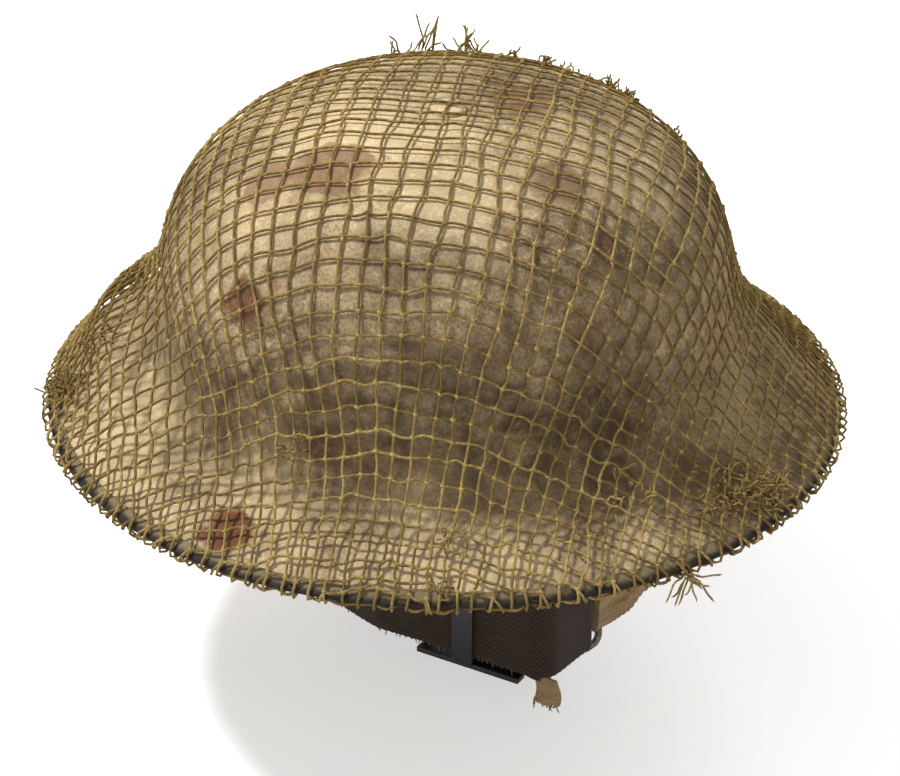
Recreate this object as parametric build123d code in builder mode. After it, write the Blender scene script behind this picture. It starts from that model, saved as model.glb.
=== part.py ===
"""Wide-brimmed steel infantry helmet with its liner, sprung chin strap and camouflage net.

The frame: +Z is up, -Y is the wearer's front, and the origin is the centre of the headband's
lower edge, where a head or a display block enters. All lengths are millimetres.
"""

import os
from math import atan2, copysign, degrees, radians, tan

from build123d import *

# The head that the helmet is sized for, and the room around it
head_width = 168.0
head_length_excess = 24.0
head_end_share = 6 / 7
liner_room = 24.0
brim_reach = 41.0

# The pressed steel bowl and brim
shell_wall = 1.0
bowl_height = 119.0
foot_height = 29.0
brim_root_height = 19.0
brim_bend_height = 11.0
rim_drop = 12.0

# Corners of the dome's outline, as shares of the bowl's half width and of the dome's height
dome_corner_shares = ((0.40, 1.0), (0.736, 0.843), (0.912, 0.621), (0.985, 0.340))
brim_bend_share = 0.57
arc_share = 0.48

# The folded strip round the brim's edge
binding_wall = 0.5
binding_depth = 5.6
binding_gap = 0.1
binding_edge_radius = 0.8
binding_joint_gap = 0.6

# The crown bolt and what it clamps
bolt_radius = 2.4
bolt_length = 13.5
bolt_head_radius = 7.0
bolt_head_height = 1.8
bolt_slot_width = 1.4
bolt_slot_depth = 0.8
bolt_clearance = 0.05
spacer_radius = 9.0
spacer_height = 4.0
crown_plate_radius = 15.0
crown_plate_wall = 1.2
nut_radius = 4.8
nut_height = 3.6
stack_gap = 0.1

# The headband: a fibre band with an oilcloth cover turned up round its lower edge
cover_wall = 1.0
cover_height = 42.0
cover_lip_height = 12.0
core_wall = 1.3
core_height = 36.0
band_gap = 0.1

# The two straps of the cradle, which cross over the head
cradle_width = 30.0
cradle_wall = 1.2
cradle_end_height = 14.0
cradle_turn_height = 46.0
cradle_corner_shares = ((0.42, 0.0), (0.78, 0.305), (0.97, 0.72))

# The cross-shaped rubber pad in the crown
pad_arm_width = 34.0
pad_length = 112.0
pad_width = 98.0
pad_thickness = 10.0
pad_hole_radius = 16.5
pad_corner_radius = 5.0
pad_gap = 0.3

# The rubber buffers between headband and bowl
buffer_radius = 4.9
buffer_bore_radius = 2.8
buffer_height = 22.0
buffer_base = 13.0
buffer_gap = 0.2
buffer_front_angle = 56.0
buffer_side_angle = 25.0

# Small rivets of the liner
rivet_radius = 1.1
rivet_head_radius = 2.1
rivet_head_height = 0.7
rivet_clearance = 0.06
rivet_seat_gap = 0.08
cradle_rivet_spread = 16.0
cradle_rivet_height = 24.0

# The lugs that carry the chin strap, one on each side of the bowl
lug_height = 26.0
lug_rivet_radius = 2.0
lug_rivet_clearance = 0.05
lug_rivet_head_radius = 5.2
lug_rivet_head_height = 1.3
lug_rivet_tail_radius = 3.6
lug_rivet_tail_height = 1.2
lug_seat_gap = 0.3
collar_radius = 4.6
collar_height = 3.6
lug_wall = 1.2
lug_width = 16.0
lug_reach = 18.0
lug_side_gap = 0.1
bail_wire_radius = 1.5
bail_width = 34.0
bail_drop = 12.0
bail_corner_radius = 4.0
bail_clearance = 0.1

# The sprung sleeves of the chin strap
sleeve_width = 26.0
sleeve_thickness = 8.0
sleeve_edge_share = 0.45
sleeve_start_run = 40.0
sleeve_end_run = 24.0
sleeve_steps = 8
tab_thickness = 6.2
tab_length = 5.0
tab_clearance = 0.15

# The wire rings between sleeves and webbing
ring_wire_radius = 1.4
ring_height = 36.0
ring_pitch = 10.0
ring_corner_radius = 3.0

# The webbing, which hangs on edge, and its course seen from above
webbing_width = 32.0
webbing_thickness = 1.8
webbing_level = -76.0
right_bend_place = (-60.0, -21.5)
buckle_bend_place = (-6.0, -45.0)
left_bend_place = (65.0, -52.3)
right_end_angle = 118.0
left_end_angle = 76.0
right_end_run = 16.0
left_end_run = 30.0
side_bend_radius = 8.0
buckle_bend_radius = 14.0
fold_reach = 12.0
fold_gap = 0.2
fold_slack = 0.05

# The webbing's free end, which lies behind it
tail_start_run = 35.0
tail_end_run = 12.0
tail_gap = 0.3

# The three-bar friction buckle
buckle_place_share = 0.55
buckle_length = 44.0
buckle_height = 40.0
buckle_wall = 1.4
buckle_slot_length = 30.0
buckle_slot_height = 34.0
buckle_bar_width = 7.0
buckle_corner_radius = 4.0
buckle_gap = 0.3

# The camouflage net, as the skin in which its strings lie
net_gap = 0.6
net_thickness = 1.4
net_shoulder_spread = 1.3
net_shoulder_height = 36.0
net_foot_share = 0.70
net_foot_lift = 3.0
net_hem_share = 0.50
net_under_gap = 0.3
hem_cord_radius = 1.0
hem_cord_gap = 0.2

head_length = head_width + head_length_excess
head_end_radius = head_width / 2 * head_end_share
bowl_width = head_width + 2 * liner_room
shell_width = bowl_width + 2 * brim_reach
rim_level = -rim_drop
crown_level = rim_level + bowl_height
half_bowl = bowl_width / 2


def rounded(corners):
    """The largest radius for each inner corner that leaves a short straight between two arcs."""
    runs = [Vector(*b) - Vector(*a) for a, b in zip(corners, corners[1:])]
    radii = []
    for before, after in zip(runs, runs[1:]):
        turn = radians(before.get_angle(after))
        radii.append(arc_share * min(before.length, after.length) / tan(turn / 2))
    return radii


def moved(corners, grow):
    """The corners of the line that runs beside the corners' line, to its left."""
    runs = [(Vector(*b) - Vector(*a)).normalized() for a, b in zip(corners, corners[1:])]
    normals = [run.rotate(Axis.Z, 90) for run in runs]
    pairs = zip([normals[0], *normals], [*normals, normals[-1]])
    return [
        tuple(Vector(*corner) + (one + two) * (grow / (1 + one.dot(two))))
        for corner, (one, two) in zip(corners, pairs)
    ]


def wall_face(corners, thickness, side):
    """The face between a rounded line through the corners and the same line beside it."""
    with BuildLine() as line:
        FilletPolyline(*corners, radius=rounded(corners))
        offset(amount=thickness, side=side)
    make_face(line.edges())


def turned_wall(corners, thickness, side):
    """A wall of revolution, thickened to one side of the line through the corners."""
    with BuildSketch(Plane.XZ) as band:
        wall_face(corners, thickness, side)
    revolve(band.sketch, axis=Axis.Z)


# The head's oval is four arcs: two flat ones at the sides and two round ones at the ends
end_centre = (head_length - 2 * head_end_radius) / 2
side_radius = ((head_width / 2) ** 2 + end_centre**2 - head_end_radius**2) / (
    head_width - 2 * head_end_radius
)
side_centre = side_radius - head_width / 2
joint_angle = degrees(atan2(end_centre, side_centre))


def oval_face(grow, mode=Mode.ADD):
    """The area inside the head's oval, grown evenly."""
    with BuildLine() as line:
        for turn in (0, 180):
            back = -1 if turn else 1
            CenterArc(
                (-back * side_centre, 0),
                side_radius + grow,
                turn - joint_angle,
                2 * joint_angle,
            )
            CenterArc(
                (0, back * end_centre),
                head_end_radius + grow,
                turn + joint_angle,
                180 - 2 * joint_angle,
            )
    make_face(line.edges(), mode=mode)


def oval_ring(inner, outer, height, base=0.0):
    """A wall round the head's oval, from one growth of that oval to another."""
    with BuildSketch() as ring:
        oval_face(outer)
        oval_face(inner, Mode.SUBTRACT)
    extrude(ring.sketch.moved(Location((0, 0, base))), amount=height)


def on_band(angle, level, grow):
    """A plane on the grown oval of the head, facing outwards in that direction from +X."""
    facing = Vector(1, 0, 0).rotate(Axis.Z, angle)
    joint = Vector(1, 0, 0).rotate(Axis.Z, joint_angle)
    if abs(facing.X) > joint.X:
        centre = Vector(-copysign(side_centre, facing.X), 0, level)
        reach = side_radius + grow
    else:
        centre = Vector(0, copysign(end_centre, facing.Y), level)
        reach = head_end_radius + grow
    return Plane(origin=centre + facing * reach, x_dir=(0, 0, 1), z_dir=facing)


def keep(builder, name):
    """Labels a finished piece and writes it."""
    builder.part.label = name
    export_step(builder.part, f"parts/{name}.step")


os.makedirs("parts", exist_ok=True)

# The shell's outer outline, from the crown down to the brim's edge
dome_height = bowl_height - foot_height
dome_corners = [
    (half_bowl * across, crown_level - dome_height * (1 - up))
    for across, up in dome_corner_shares
]
brim_root = Vector(half_bowl, rim_level + brim_root_height)
rim_point = Vector(shell_width / 2, rim_level)
brim_bend = Vector(
    brim_root.X + brim_bend_share * (rim_point.X - brim_root.X),
    rim_level + brim_bend_height,
)
shell_corners = [
    (0, crown_level),
    *dome_corners,
    (brim_root.X, brim_root.Y),
    (brim_bend.X, brim_bend.Y),
    (rim_point.X, rim_point.Y),
]
brim_run = (rim_point - brim_bend).normalized()
brim_normal = brim_run.rotate(Axis.Z, 90)

with BuildPart() as steel_shell:
    turned_wall(shell_corners, shell_wall, Side.RIGHT)
    with Locations((0, 0, crown_level)):
        Cylinder(bolt_radius + bolt_clearance, 2 * spacer_height, mode=Mode.SUBTRACT)
    with Locations(Location((0, 0, lug_height), (0, 90, 0))):
        Cylinder(lug_rivet_radius + lug_rivet_clearance, shell_width, mode=Mode.SUBTRACT)
keep(steel_shell, "steel_shell")

# The binding is a channel folded over the brim's edge, butted at the back
binding_reach = binding_gap + binding_wall
rim_middle = rim_point - brim_normal * (shell_wall / 2)
rim_tilt = degrees(atan2(brim_run.Y, brim_run.X))

with BuildPart() as rim_binding:
    with BuildSketch(Plane.XZ) as channel:
        tip = rim_middle + brim_run * binding_reach
        with Locations(Location((tip.X, tip.Y, 0), (0, 0, rim_tilt))):
            Rectangle(
                binding_depth, shell_wall + 2 * binding_reach, align=(Align.MAX, Align.CENTER)
            )
        tip_corners = channel.vertices().sort_by(Axis((0, 0, 0), (brim_run.X, brim_run.Y, 0)))[-2:]
        fillet(tip_corners, radius=binding_edge_radius)
        bed = rim_middle + brim_run * binding_gap
        with Locations(Location((bed.X, bed.Y, 0), (0, 0, rim_tilt))):
            Rectangle(
                binding_depth,
                shell_wall + 2 * binding_gap,
                align=(Align.MAX, Align.CENTER),
                mode=Mode.SUBTRACT,
            )
    revolve(axis=Axis.Z)
    with Locations((0, shell_width / 2, rim_level)):
        Box(binding_joint_gap, 2 * binding_depth, 2 * binding_depth, mode=Mode.SUBTRACT)
keep(rim_binding, "rim_binding")

# The crown stack, downwards from the bowl's inner face
spacer_top = crown_level - shell_wall - stack_gap
long_strap_top = spacer_top - spacer_height - stack_gap
cross_strap_top = long_strap_top - cradle_wall - stack_gap
crown_plate_top = cross_strap_top - cradle_wall - stack_gap
nut_top = crown_plate_top - crown_plate_wall - stack_gap

with BuildPart() as crown_bolt:
    with Locations((0, 0, crown_level + stack_gap)):
        Cylinder(bolt_radius, bolt_length, align=(Align.CENTER, Align.CENTER, Align.MAX))
        Cylinder(
            bolt_head_radius, bolt_head_height, align=(Align.CENTER, Align.CENTER, Align.MIN)
        )
    head_edge = crown_bolt.faces().sort_by(Axis.Z)[-1].edges()
    fillet(head_edge, radius=bolt_head_height * arc_share * 2)
    with Locations((0, 0, crown_level + stack_gap + bolt_head_height)):
        Box(
            2 * bolt_head_radius,
            bolt_slot_width,
            bolt_slot_depth,
            align=(Align.CENTER, Align.CENTER, Align.MAX),
            mode=Mode.SUBTRACT,
        )
keep(crown_bolt, "crown_bolt")


def washer(radius, height, top):
    """A round plate under that level, with the bolt's hole."""
    with Locations((0, 0, top - height / 2)):
        Cylinder(radius, height)
        Cylinder(bolt_radius + bolt_clearance, height, mode=Mode.SUBTRACT)


with BuildPart() as crown_spacer:
    washer(spacer_radius, spacer_height, spacer_top)
keep(crown_spacer, "crown_spacer")

with BuildPart() as crown_plate:
    washer(crown_plate_radius, crown_plate_wall, crown_plate_top)
keep(crown_plate, "crown_plate")

with BuildPart() as crown_nut:
    with BuildSketch(Plane.XY.offset(nut_top - nut_height)):
        RegularPolygon(nut_radius, 6)
        Circle(bolt_radius + bolt_clearance, mode=Mode.SUBTRACT)
    extrude(amount=nut_height)
keep(crown_nut, "crown_nut")

# The headband's layers, as growths of the head's oval
core_inner = cover_wall + band_gap
core_outer = core_inner + core_wall
lip_inner = core_outer + band_gap
lip_outer = lip_inner + cover_wall
with BuildPart() as headband_cover:
    oval_ring(0, cover_wall, cover_height)
    oval_ring(0, lip_outer, cover_wall)
    oval_ring(lip_inner, lip_outer, cover_lip_height)
keep(headband_cover, "headband_cover")

# Where the liner's rivets stand, with their heads outwards
strap_reach = {Axis.X: head_width / 2 + lip_inner, Axis.Y: head_length / 2 + lip_inner}
cradle_rivet_planes = [
    Plane(
        origin=(
            axis.direction * end * (reach + cradle_wall + rivet_seat_gap)
            + axis.direction.rotate(Axis.Z, 90) * beside_middle
            + Vector(0, 0, cradle_rivet_height)
        ),
        x_dir=(0, 0, 1),
        z_dir=axis.direction * end,
    )
    for axis, reach in strap_reach.items()
    for end in (1, -1)
    for beside_middle in (cradle_rivet_spread / 2, -cradle_rivet_spread / 2)
]
buffer_centre = core_outer + buffer_gap + buffer_radius
buffer_angles = {
    "buffer_front_left": -buffer_front_angle,
    "buffer_front_right": buffer_front_angle - 180,
    "buffer_side_left": -buffer_side_angle,
    "buffer_side_right": buffer_side_angle - 180,
    "buffer_rear_left": buffer_front_angle,
    "buffer_rear_right": 180 - buffer_front_angle,
    "buffer_hip_left": buffer_side_angle,
    "buffer_hip_right": 180 - buffer_side_angle,
}
buffer_rivet_reach = buffer_gap + buffer_radius + core_wall
buffer_head_offset = (buffer_bore_radius**2 - rivet_head_radius**2) ** 0.5 - rivet_seat_gap
buffer_planes = {
    name: on_band(angle, buffer_base + buffer_height / 2, buffer_centre)
    for name, angle in buffer_angles.items()
}

with BuildPart() as headband_core:
    oval_ring(core_inner, core_outer, core_height, core_inner)
    for plane in cradle_rivet_planes + list(buffer_planes.values()):
        with BuildSketch(plane) as hole:
            Circle(rivet_radius + rivet_clearance)
        extrude(hole.sketch, amount=-2 * buffer_rivet_reach, mode=Mode.SUBTRACT)
keep(headband_core, "headband_core")


def cradle_line(reach, top, end_height):
    """The corners of a line over the head, from one end of a strap to the other."""
    fall = top - cradle_turn_height
    half = [
        *((reach * out, top - fall * down) for out, down in cradle_corner_shares),
        (reach, cradle_turn_height),
        (reach, end_height),
    ]
    return [(-across, level) for across, level in reversed(half)] + half


def bent_strip(axis, corners, width, thickness):
    """A strip of that width along X or Y, thickened outwards from its line."""
    plane = Plane(
        origin=(0, 0, 0), x_dir=axis.direction, z_dir=axis.direction.cross(Vector(0, 0, 1))
    )
    with BuildSketch(plane) as band:
        wall_face(corners, thickness, Side.LEFT)
    extrude(band.sketch, amount=width / 2, both=True)


def cradle_strap(axis, top):
    """One strap of the cradle under that level, with the holes of its bolt and rivets."""
    corners = cradle_line(strap_reach[axis], top - cradle_wall, cradle_end_height)
    bent_strip(axis, corners, cradle_width, cradle_wall)
    with Locations((0, 0, top)):
        Cylinder(bolt_radius + bolt_clearance, 2 * spacer_height, mode=Mode.SUBTRACT)
    for plane in cradle_rivet_planes:
        with BuildSketch(plane) as hole:
            Circle(rivet_radius + rivet_clearance)
        extrude(hole.sketch, amount=-2 * cradle_wall, mode=Mode.SUBTRACT)


with BuildPart() as cradle_strap_long:
    cradle_strap(Axis.Y, long_strap_top)
keep(cradle_strap_long, "cradle_strap_long")

with BuildPart() as cradle_strap_cross:
    cradle_strap(Axis.X, cross_strap_top)
keep(cradle_strap_cross, "cradle_strap_cross")


def rivets(planes, reach):
    """Flat-headed rivets, with their heads beyond the planes and their shanks inwards."""
    for plane in planes:
        with BuildSketch(plane) as head:
            Circle(rivet_head_radius)
        extrude(head.sketch, amount=rivet_head_height)
        with BuildSketch(plane) as shank:
            Circle(rivet_radius)
        extrude(shank.sketch, amount=-reach)


with BuildPart() as cradle_rivets:
    rivets(cradle_rivet_planes, cradle_wall + rivet_seat_gap + band_gap + core_wall)
keep(cradle_rivets, "cradle_rivets")

# The buffers are short rubber tubes that stand on end, each riveted through its inner wall
with BuildPart() as buffer_rivets:
    rivets(
        [plane.offset(-buffer_head_offset) for plane in buffer_planes.values()],
        buffer_rivet_reach - buffer_head_offset,
    )
keep(buffer_rivets, "buffer_rivets")

for name, plane in buffer_planes.items():
    with BuildPart() as buffer:
        with Locations(plane.origin):
            Cylinder(buffer_radius, buffer_height)
            Cylinder(buffer_bore_radius, buffer_height, mode=Mode.SUBTRACT)
        with BuildSketch(plane) as hole:
            Circle(rivet_radius + rivet_clearance)
        extrude(hole.sketch, amount=-2 * buffer_radius, mode=Mode.SUBTRACT)
    keep(buffer, name)

# The crown pad, a rubber cross that follows the straps
pad_top = cross_strap_top - cradle_wall - pad_gap

with BuildPart() as crown_pad:
    for axis in (Axis.X, Axis.Y):
        pad_reach = strap_reach[axis] - pad_gap - pad_thickness
        corners = cradle_line(pad_reach, pad_top - pad_thickness, cradle_end_height)
        bent_strip(axis, corners, pad_arm_width, pad_thickness)
    with BuildSketch() as cross:
        Rectangle(pad_arm_width, pad_length)
        Rectangle(pad_width, pad_arm_width)
        fillet(cross.vertices(), radius=pad_corner_radius)
        Circle(pad_hole_radius, mode=Mode.SUBTRACT)
    extrude(cross.sketch, amount=2 * crown_level, mode=Mode.INTERSECT)
keep(crown_pad, "crown_pad")

# The lugs, with their places worked out from the bowl's wall at their height
lug_share = (dome_corners[-1][1] - lug_height) / (dome_corners[-1][1] - brim_root.Y)
lug_outer_face = dome_corners[-1][0] + lug_share * (brim_root.X - dome_corners[-1][0])
collar_face = lug_outer_face - shell_wall - lug_seat_gap
lug_face = collar_face - collar_height - lug_side_gap
lug_inner_face = lug_face - lug_wall
lug_tail_face = lug_inner_face - lug_side_gap
knuckle_bore = bail_wire_radius + bail_clearance
knuckle_radius = knuckle_bore + lug_wall
bail_place = lug_face - knuckle_radius
bail_top = lug_height - lug_reach
bail_base = bail_top - bail_drop


def along_x(radius, near, far, mode=Mode.ADD):
    """A round bar on the lug's axis between two distances from the middle."""
    with Locations(Location(((near + far) / 2, 0, lug_height), (0, 90, 0))):
        Cylinder(radius, abs(far - near), mode=mode)


def wire_frame(plane, middle, size, corner_radius, wire_radius):
    """A rectangular loop of round wire, of that size between the wire's middles."""
    corners = [
        (middle[0] + across * size[0] / 2, middle[1] + up * size[1] / 2)
        for across, up in ((-1, -1), (1, -1), (1, 1), (-1, 1))
    ]
    with BuildLine(plane) as frame:
        FilletPolyline(*corners, radius=corner_radius, close=True)
    loop = frame.wire()
    with BuildSketch(Plane(origin=loop @ 0, z_dir=loop % 0)) as wire_section:
        Circle(wire_radius)
    sweep(wire_section.sketch, path=loop)


for side, hand in (("left", 1), ("right", -1)):
    with BuildPart() as lug_rivet:
        head_place = lug_outer_face + lug_seat_gap
        along_x(lug_rivet_head_radius, head_place, head_place + lug_rivet_head_height)
        fillet(
            lug_rivet.faces().sort_by(Axis.X)[-1].edges(),
            radius=lug_rivet_head_height * arc_share * 2,
        )
        along_x(lug_rivet_radius, lug_tail_face, head_place)
        along_x(lug_rivet_tail_radius, lug_tail_face - lug_rivet_tail_height, lug_tail_face)
        if hand < 0:
            mirror(about=Plane.YZ, mode=Mode.REPLACE)
    keep(lug_rivet, f"lug_rivet_{side}")

    with BuildPart() as lug_collar:
        along_x(collar_radius, collar_face - collar_height, collar_face)
        along_x(lug_rivet_radius + lug_rivet_clearance, 0, shell_width, Mode.SUBTRACT)
        if hand < 0:
            mirror(about=Plane.YZ, mode=Mode.REPLACE)
    keep(lug_collar, f"lug_collar_{side}")

    with BuildPart() as lug_plate:
        with BuildSketch(Plane.YZ.offset(lug_inner_face)) as outline:
            with Locations((0, lug_height)):
                Circle(lug_width / 2)
            with Locations((0, (lug_height + bail_top) / 2)):
                Rectangle(lug_width, lug_reach)
        extrude(outline.sketch, amount=lug_wall)
        with Locations(Location((bail_place, 0, bail_top), (90, 0, 0))):
            Cylinder(knuckle_radius, lug_width)
            Cylinder(knuckle_bore, lug_width, mode=Mode.SUBTRACT)
        along_x(lug_rivet_radius + lug_rivet_clearance, 0, shell_width, Mode.SUBTRACT)
        if hand < 0:
            mirror(about=Plane.YZ, mode=Mode.REPLACE)
    keep(lug_plate, f"lug_plate_{side}")

    with BuildPart() as lug_bail:
        wire_frame(
            Plane.YZ.offset(hand * bail_place),
            (0, (bail_top + bail_base) / 2),
            (bail_width, bail_drop),
            bail_corner_radius,
            bail_wire_radius,
        )
    keep(lug_bail, f"lug_bail_{side}")

# The webbing's course seen from above, whose ends turn back round the rings' front bars
fold_radius = ring_wire_radius + fold_gap + webbing_thickness / 2


def webbing_end(bend, angle, run, outside):
    """The corner points of a fold round a ring's bar, that bar's place and the way it leads."""
    ahead = Vector(1, 0, 0).rotate(Axis.Z, angle)
    out = ahead.rotate(Axis.Z, outside)
    far = Vector(*bend) + ahead * run
    bar = far - ahead * (fold_radius + fold_slack) - out * (fold_radius + fold_slack)
    back = far - out * (2 * (fold_radius + fold_slack))
    tip = back - ahead * (fold_reach + fold_radius)
    return [far, back, tip], bar, ahead, out


right_points, right_bar, right_ahead, right_out = webbing_end(
    right_bend_place, right_end_angle, right_end_run, 90
)
left_points, left_bar, left_ahead, left_out = webbing_end(
    left_bend_place, left_end_angle, left_end_run, -90
)
course = [
    *reversed(right_points),
    right_bend_place,
    buckle_bend_place,
    left_bend_place,
    *left_points,
]
course_radii = [
    fold_radius,
    fold_radius,
    side_bend_radius,
    buckle_bend_radius,
    side_bend_radius,
    fold_radius,
    fold_radius,
]


def hung_strip(points, radii, thickness, height, middle):
    """A strip on edge that follows a course seen from above."""
    with BuildLine() as line:
        FilletPolyline(*points, radius=radii)
    with BuildSketch() as plan:
        trace(line.wire(), line_width=thickness)
    extrude(plan.sketch.moved(Location((0, 0, middle - height / 2))), amount=height)


with BuildPart() as strap_webbing:
    hung_strip(course, course_radii, webbing_thickness, webbing_width, webbing_level)
keep(strap_webbing, "strap_webbing")

# The straight stretch through the buckle, and the free end beside it, nearer the head
stretch = Vector(*left_bend_place) - Vector(*buckle_bend_place)
stretch_ahead = stretch.normalized()
stretch_out = stretch_ahead.rotate(Axis.Z, -90)
tail_layer = webbing_thickness + tail_gap
tail_points = moved(
    [
        Vector(*left_bend_place) - stretch_ahead * (stretch.length - tail_start_run),
        left_bend_place,
        Vector(*left_bend_place) + left_ahead * tail_end_run,
    ],
    tail_layer,
)

with BuildPart() as strap_tail:
    hung_strip(
        tail_points,
        [side_bend_radius - tail_layer],
        webbing_thickness,
        webbing_width,
        webbing_level,
    )
keep(strap_tail, "strap_tail")

for side, bar, ahead in (("right", right_bar, right_ahead), ("left", left_bar, left_ahead)):
    middle = bar + ahead * (ring_pitch / 2)
    ring_plane = Plane(
        origin=(middle.X, middle.Y, webbing_level),
        x_dir=ahead,
        z_dir=ahead.cross(Vector(0, 0, 1)),
    )
    with BuildPart() as strap_ring:
        wire_frame(
            ring_plane, (0, 0), (ring_pitch, ring_height), ring_corner_radius, ring_wire_radius
        )
    keep(strap_ring, f"strap_ring_{side}")

# The sleeves run from the bails' lower bars down and forwards to the rings' rear bars
for side, hand, bar, ahead, out in (
    ("right", -1, right_bar, right_ahead, right_out),
    ("left", 1, left_bar, left_ahead, left_out),
):
    rear = bar + ahead * ring_pitch
    top = Vector(hand * bail_place, 0, bail_base - tab_length)
    end = Vector(rear.X, rear.Y, webbing_level) + ahead * tab_length
    with BuildPart() as spring_sleeve:
        with BuildLine() as middle_line:
            Bezier(top, top - Vector(0, 0, sleeve_start_run), end + ahead * sleeve_end_run, end)
        for step in range(sleeve_steps + 1):
            share = step / sleeve_steps
            ahead_here = middle_line.line % share
            across = Vector(hand, 0, 0) * (1 - share) + out * share
            across = (across - ahead_here * across.dot(ahead_here)).normalized()
            with BuildSketch(Plane(origin=middle_line.line @ share, x_dir=across, z_dir=ahead_here)):
                RectangleRounded(
                    sleeve_thickness, sleeve_width, sleeve_thickness * sleeve_edge_share
                )
        loft()
        with BuildSketch(Plane.XZ) as top_tab:
            with Locations((hand * bail_place, bail_base)):
                Circle(tab_thickness / 2)
            with Locations((hand * bail_place, bail_base - tab_length / 2)):
                Rectangle(tab_thickness, tab_length)
        extrude(top_tab.sketch, amount=sleeve_width / 2, both=True)
        with BuildSketch() as end_tab:
            with Locations(Location((rear.X, rear.Y, 0), (0, 0, degrees(atan2(ahead.Y, ahead.X))))):
                Circle(tab_thickness / 2)
                Rectangle(tab_length, tab_thickness, align=(Align.MIN, Align.CENTER))
        extrude(
            end_tab.sketch.moved(Location((0, 0, webbing_level))),
            amount=sleeve_width / 2,
            both=True,
        )
        with Locations(Location((hand * bail_place, 0, bail_base), (90, 0, 0))):
            Cylinder(bail_wire_radius + tab_clearance, sleeve_width, mode=Mode.SUBTRACT)
        with Locations((rear.X, rear.Y, webbing_level)):
            Cylinder(ring_wire_radius + tab_clearance, sleeve_width, mode=Mode.SUBTRACT)
    keep(spring_sleeve, f"spring_sleeve_{side}")

# The buckle: a frame in front of both layers and a middle bar behind them
buckle_place = Vector(*buckle_bend_place) + stretch * buckle_place_share
buckle_plane = Plane(
    origin=(buckle_place.X, buckle_place.Y, webbing_level), x_dir=stretch_ahead, z_dir=stretch_out
)
frame_face = webbing_thickness / 2 + buckle_gap
bar_face = -(webbing_thickness / 2 + tail_gap + webbing_thickness + buckle_gap)
buckle_depth = frame_face + buckle_wall - (bar_face - buckle_wall)

with BuildPart() as strap_buckle:
    with BuildSketch(buckle_plane.offset(frame_face)) as frame:
        RectangleRounded(buckle_length, buckle_height, buckle_corner_radius)
        Rectangle(buckle_slot_length, buckle_slot_height, mode=Mode.SUBTRACT)
    extrude(frame.sketch, amount=buckle_wall)
    with BuildSketch(buckle_plane.offset(bar_face - buckle_wall)) as bar:
        Rectangle(buckle_bar_width, buckle_height)
    extrude(bar.sketch, amount=buckle_wall)
    with BuildSketch(buckle_plane.offset(bar_face - buckle_wall)) as legs:
        Rectangle(buckle_bar_width, buckle_height)
        Rectangle(buckle_bar_width, buckle_slot_height, mode=Mode.SUBTRACT)
    extrude(legs.sketch, amount=buckle_depth)
keep(strap_buckle, "strap_buckle")

# The net: over the bolt's head, tented across the foot of the bowl, round the rim and inwards
under_drop = shell_wall + binding_reach + net_under_gap
tent_foot = brim_root + (brim_bend - brim_root) * net_foot_share
hem_end = brim_root + (brim_bend - brim_root) * net_hem_share
rim_upper = rim_point + (brim_run + brim_normal) * binding_reach
rim_lower = rim_upper - brim_normal * (shell_wall + 2 * binding_reach)
net_corners = [
    (0, crown_level + bolt_head_height),
    (bolt_head_radius + net_gap, crown_level + bolt_head_height),
    *dome_corners,
    (half_bowl + net_shoulder_spread, rim_level + net_shoulder_height),
    (tent_foot.X, tent_foot.Y + net_foot_lift),
    (rim_upper.X, rim_upper.Y),
    (rim_lower.X, rim_lower.Y),
    (brim_bend.X, brim_bend.Y - under_drop),
    (hem_end.X, hem_end.Y - under_drop),
]

with BuildPart() as camouflage_net:
    turned_wall(moved(net_corners, net_gap), net_thickness, Side.LEFT)
keep(camouflage_net, "camouflage_net")

hem_run = (brim_root - brim_bend).normalized()
hem_cord_place = (
    Vector(*net_corners[-1])
    + hem_run * (hem_cord_radius + hem_cord_gap)
    + hem_run.rotate(Axis.Z, 90) * (net_gap + net_thickness / 2)
)

with BuildPart() as net_hem_cord:
    with BuildSketch(Plane.XZ) as cord_section:
        with Locations((hem_cord_place.X, hem_cord_place.Y)):
            Circle(hem_cord_radius)
    revolve(cord_section.sketch, axis=Axis.Z)
keep(net_hem_cord, "net_hem_cord")
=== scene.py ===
"""Steel infantry helmet: its string net, chin strap, liner, finishes and studio.

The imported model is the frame. The tables of the helmet's pieces are in millimetres and degrees,
as on a drawing, those of the studio in metres. Every piece is made in metres in the frame's own
place.
"""

import math

import bmesh
import bpy
import numpy as np
from bpy.props import FloatProperty, FloatVectorProperty, IntProperty, PointerProperty
from mathutils import Matrix, Vector


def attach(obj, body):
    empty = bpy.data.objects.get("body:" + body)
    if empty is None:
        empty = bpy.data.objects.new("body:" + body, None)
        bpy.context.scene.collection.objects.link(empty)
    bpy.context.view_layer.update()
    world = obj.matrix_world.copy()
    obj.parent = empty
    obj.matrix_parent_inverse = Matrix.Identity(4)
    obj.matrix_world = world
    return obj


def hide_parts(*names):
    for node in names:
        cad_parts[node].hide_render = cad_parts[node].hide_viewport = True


bl_info = {
    "name": "Netted steel helmet",
    "version": (1, 0, 0),
    "blender": (4, 5, 0),
    "location": "3D View > Sidebar > Helmet",
    "description": "Net, chin strap, liner, finishes and studio of a steel infantry helmet",
    "category": "Add Mesh",
}

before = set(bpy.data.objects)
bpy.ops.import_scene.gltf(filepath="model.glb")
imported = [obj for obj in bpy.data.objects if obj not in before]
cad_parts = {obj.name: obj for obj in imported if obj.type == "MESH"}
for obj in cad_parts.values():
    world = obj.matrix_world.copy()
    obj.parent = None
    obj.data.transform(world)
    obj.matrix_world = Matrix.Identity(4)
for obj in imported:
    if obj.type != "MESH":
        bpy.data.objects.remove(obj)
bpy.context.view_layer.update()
MM = 0.001
FILLET_SHARE, FILLET_STEP = 0.48, 5

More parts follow.
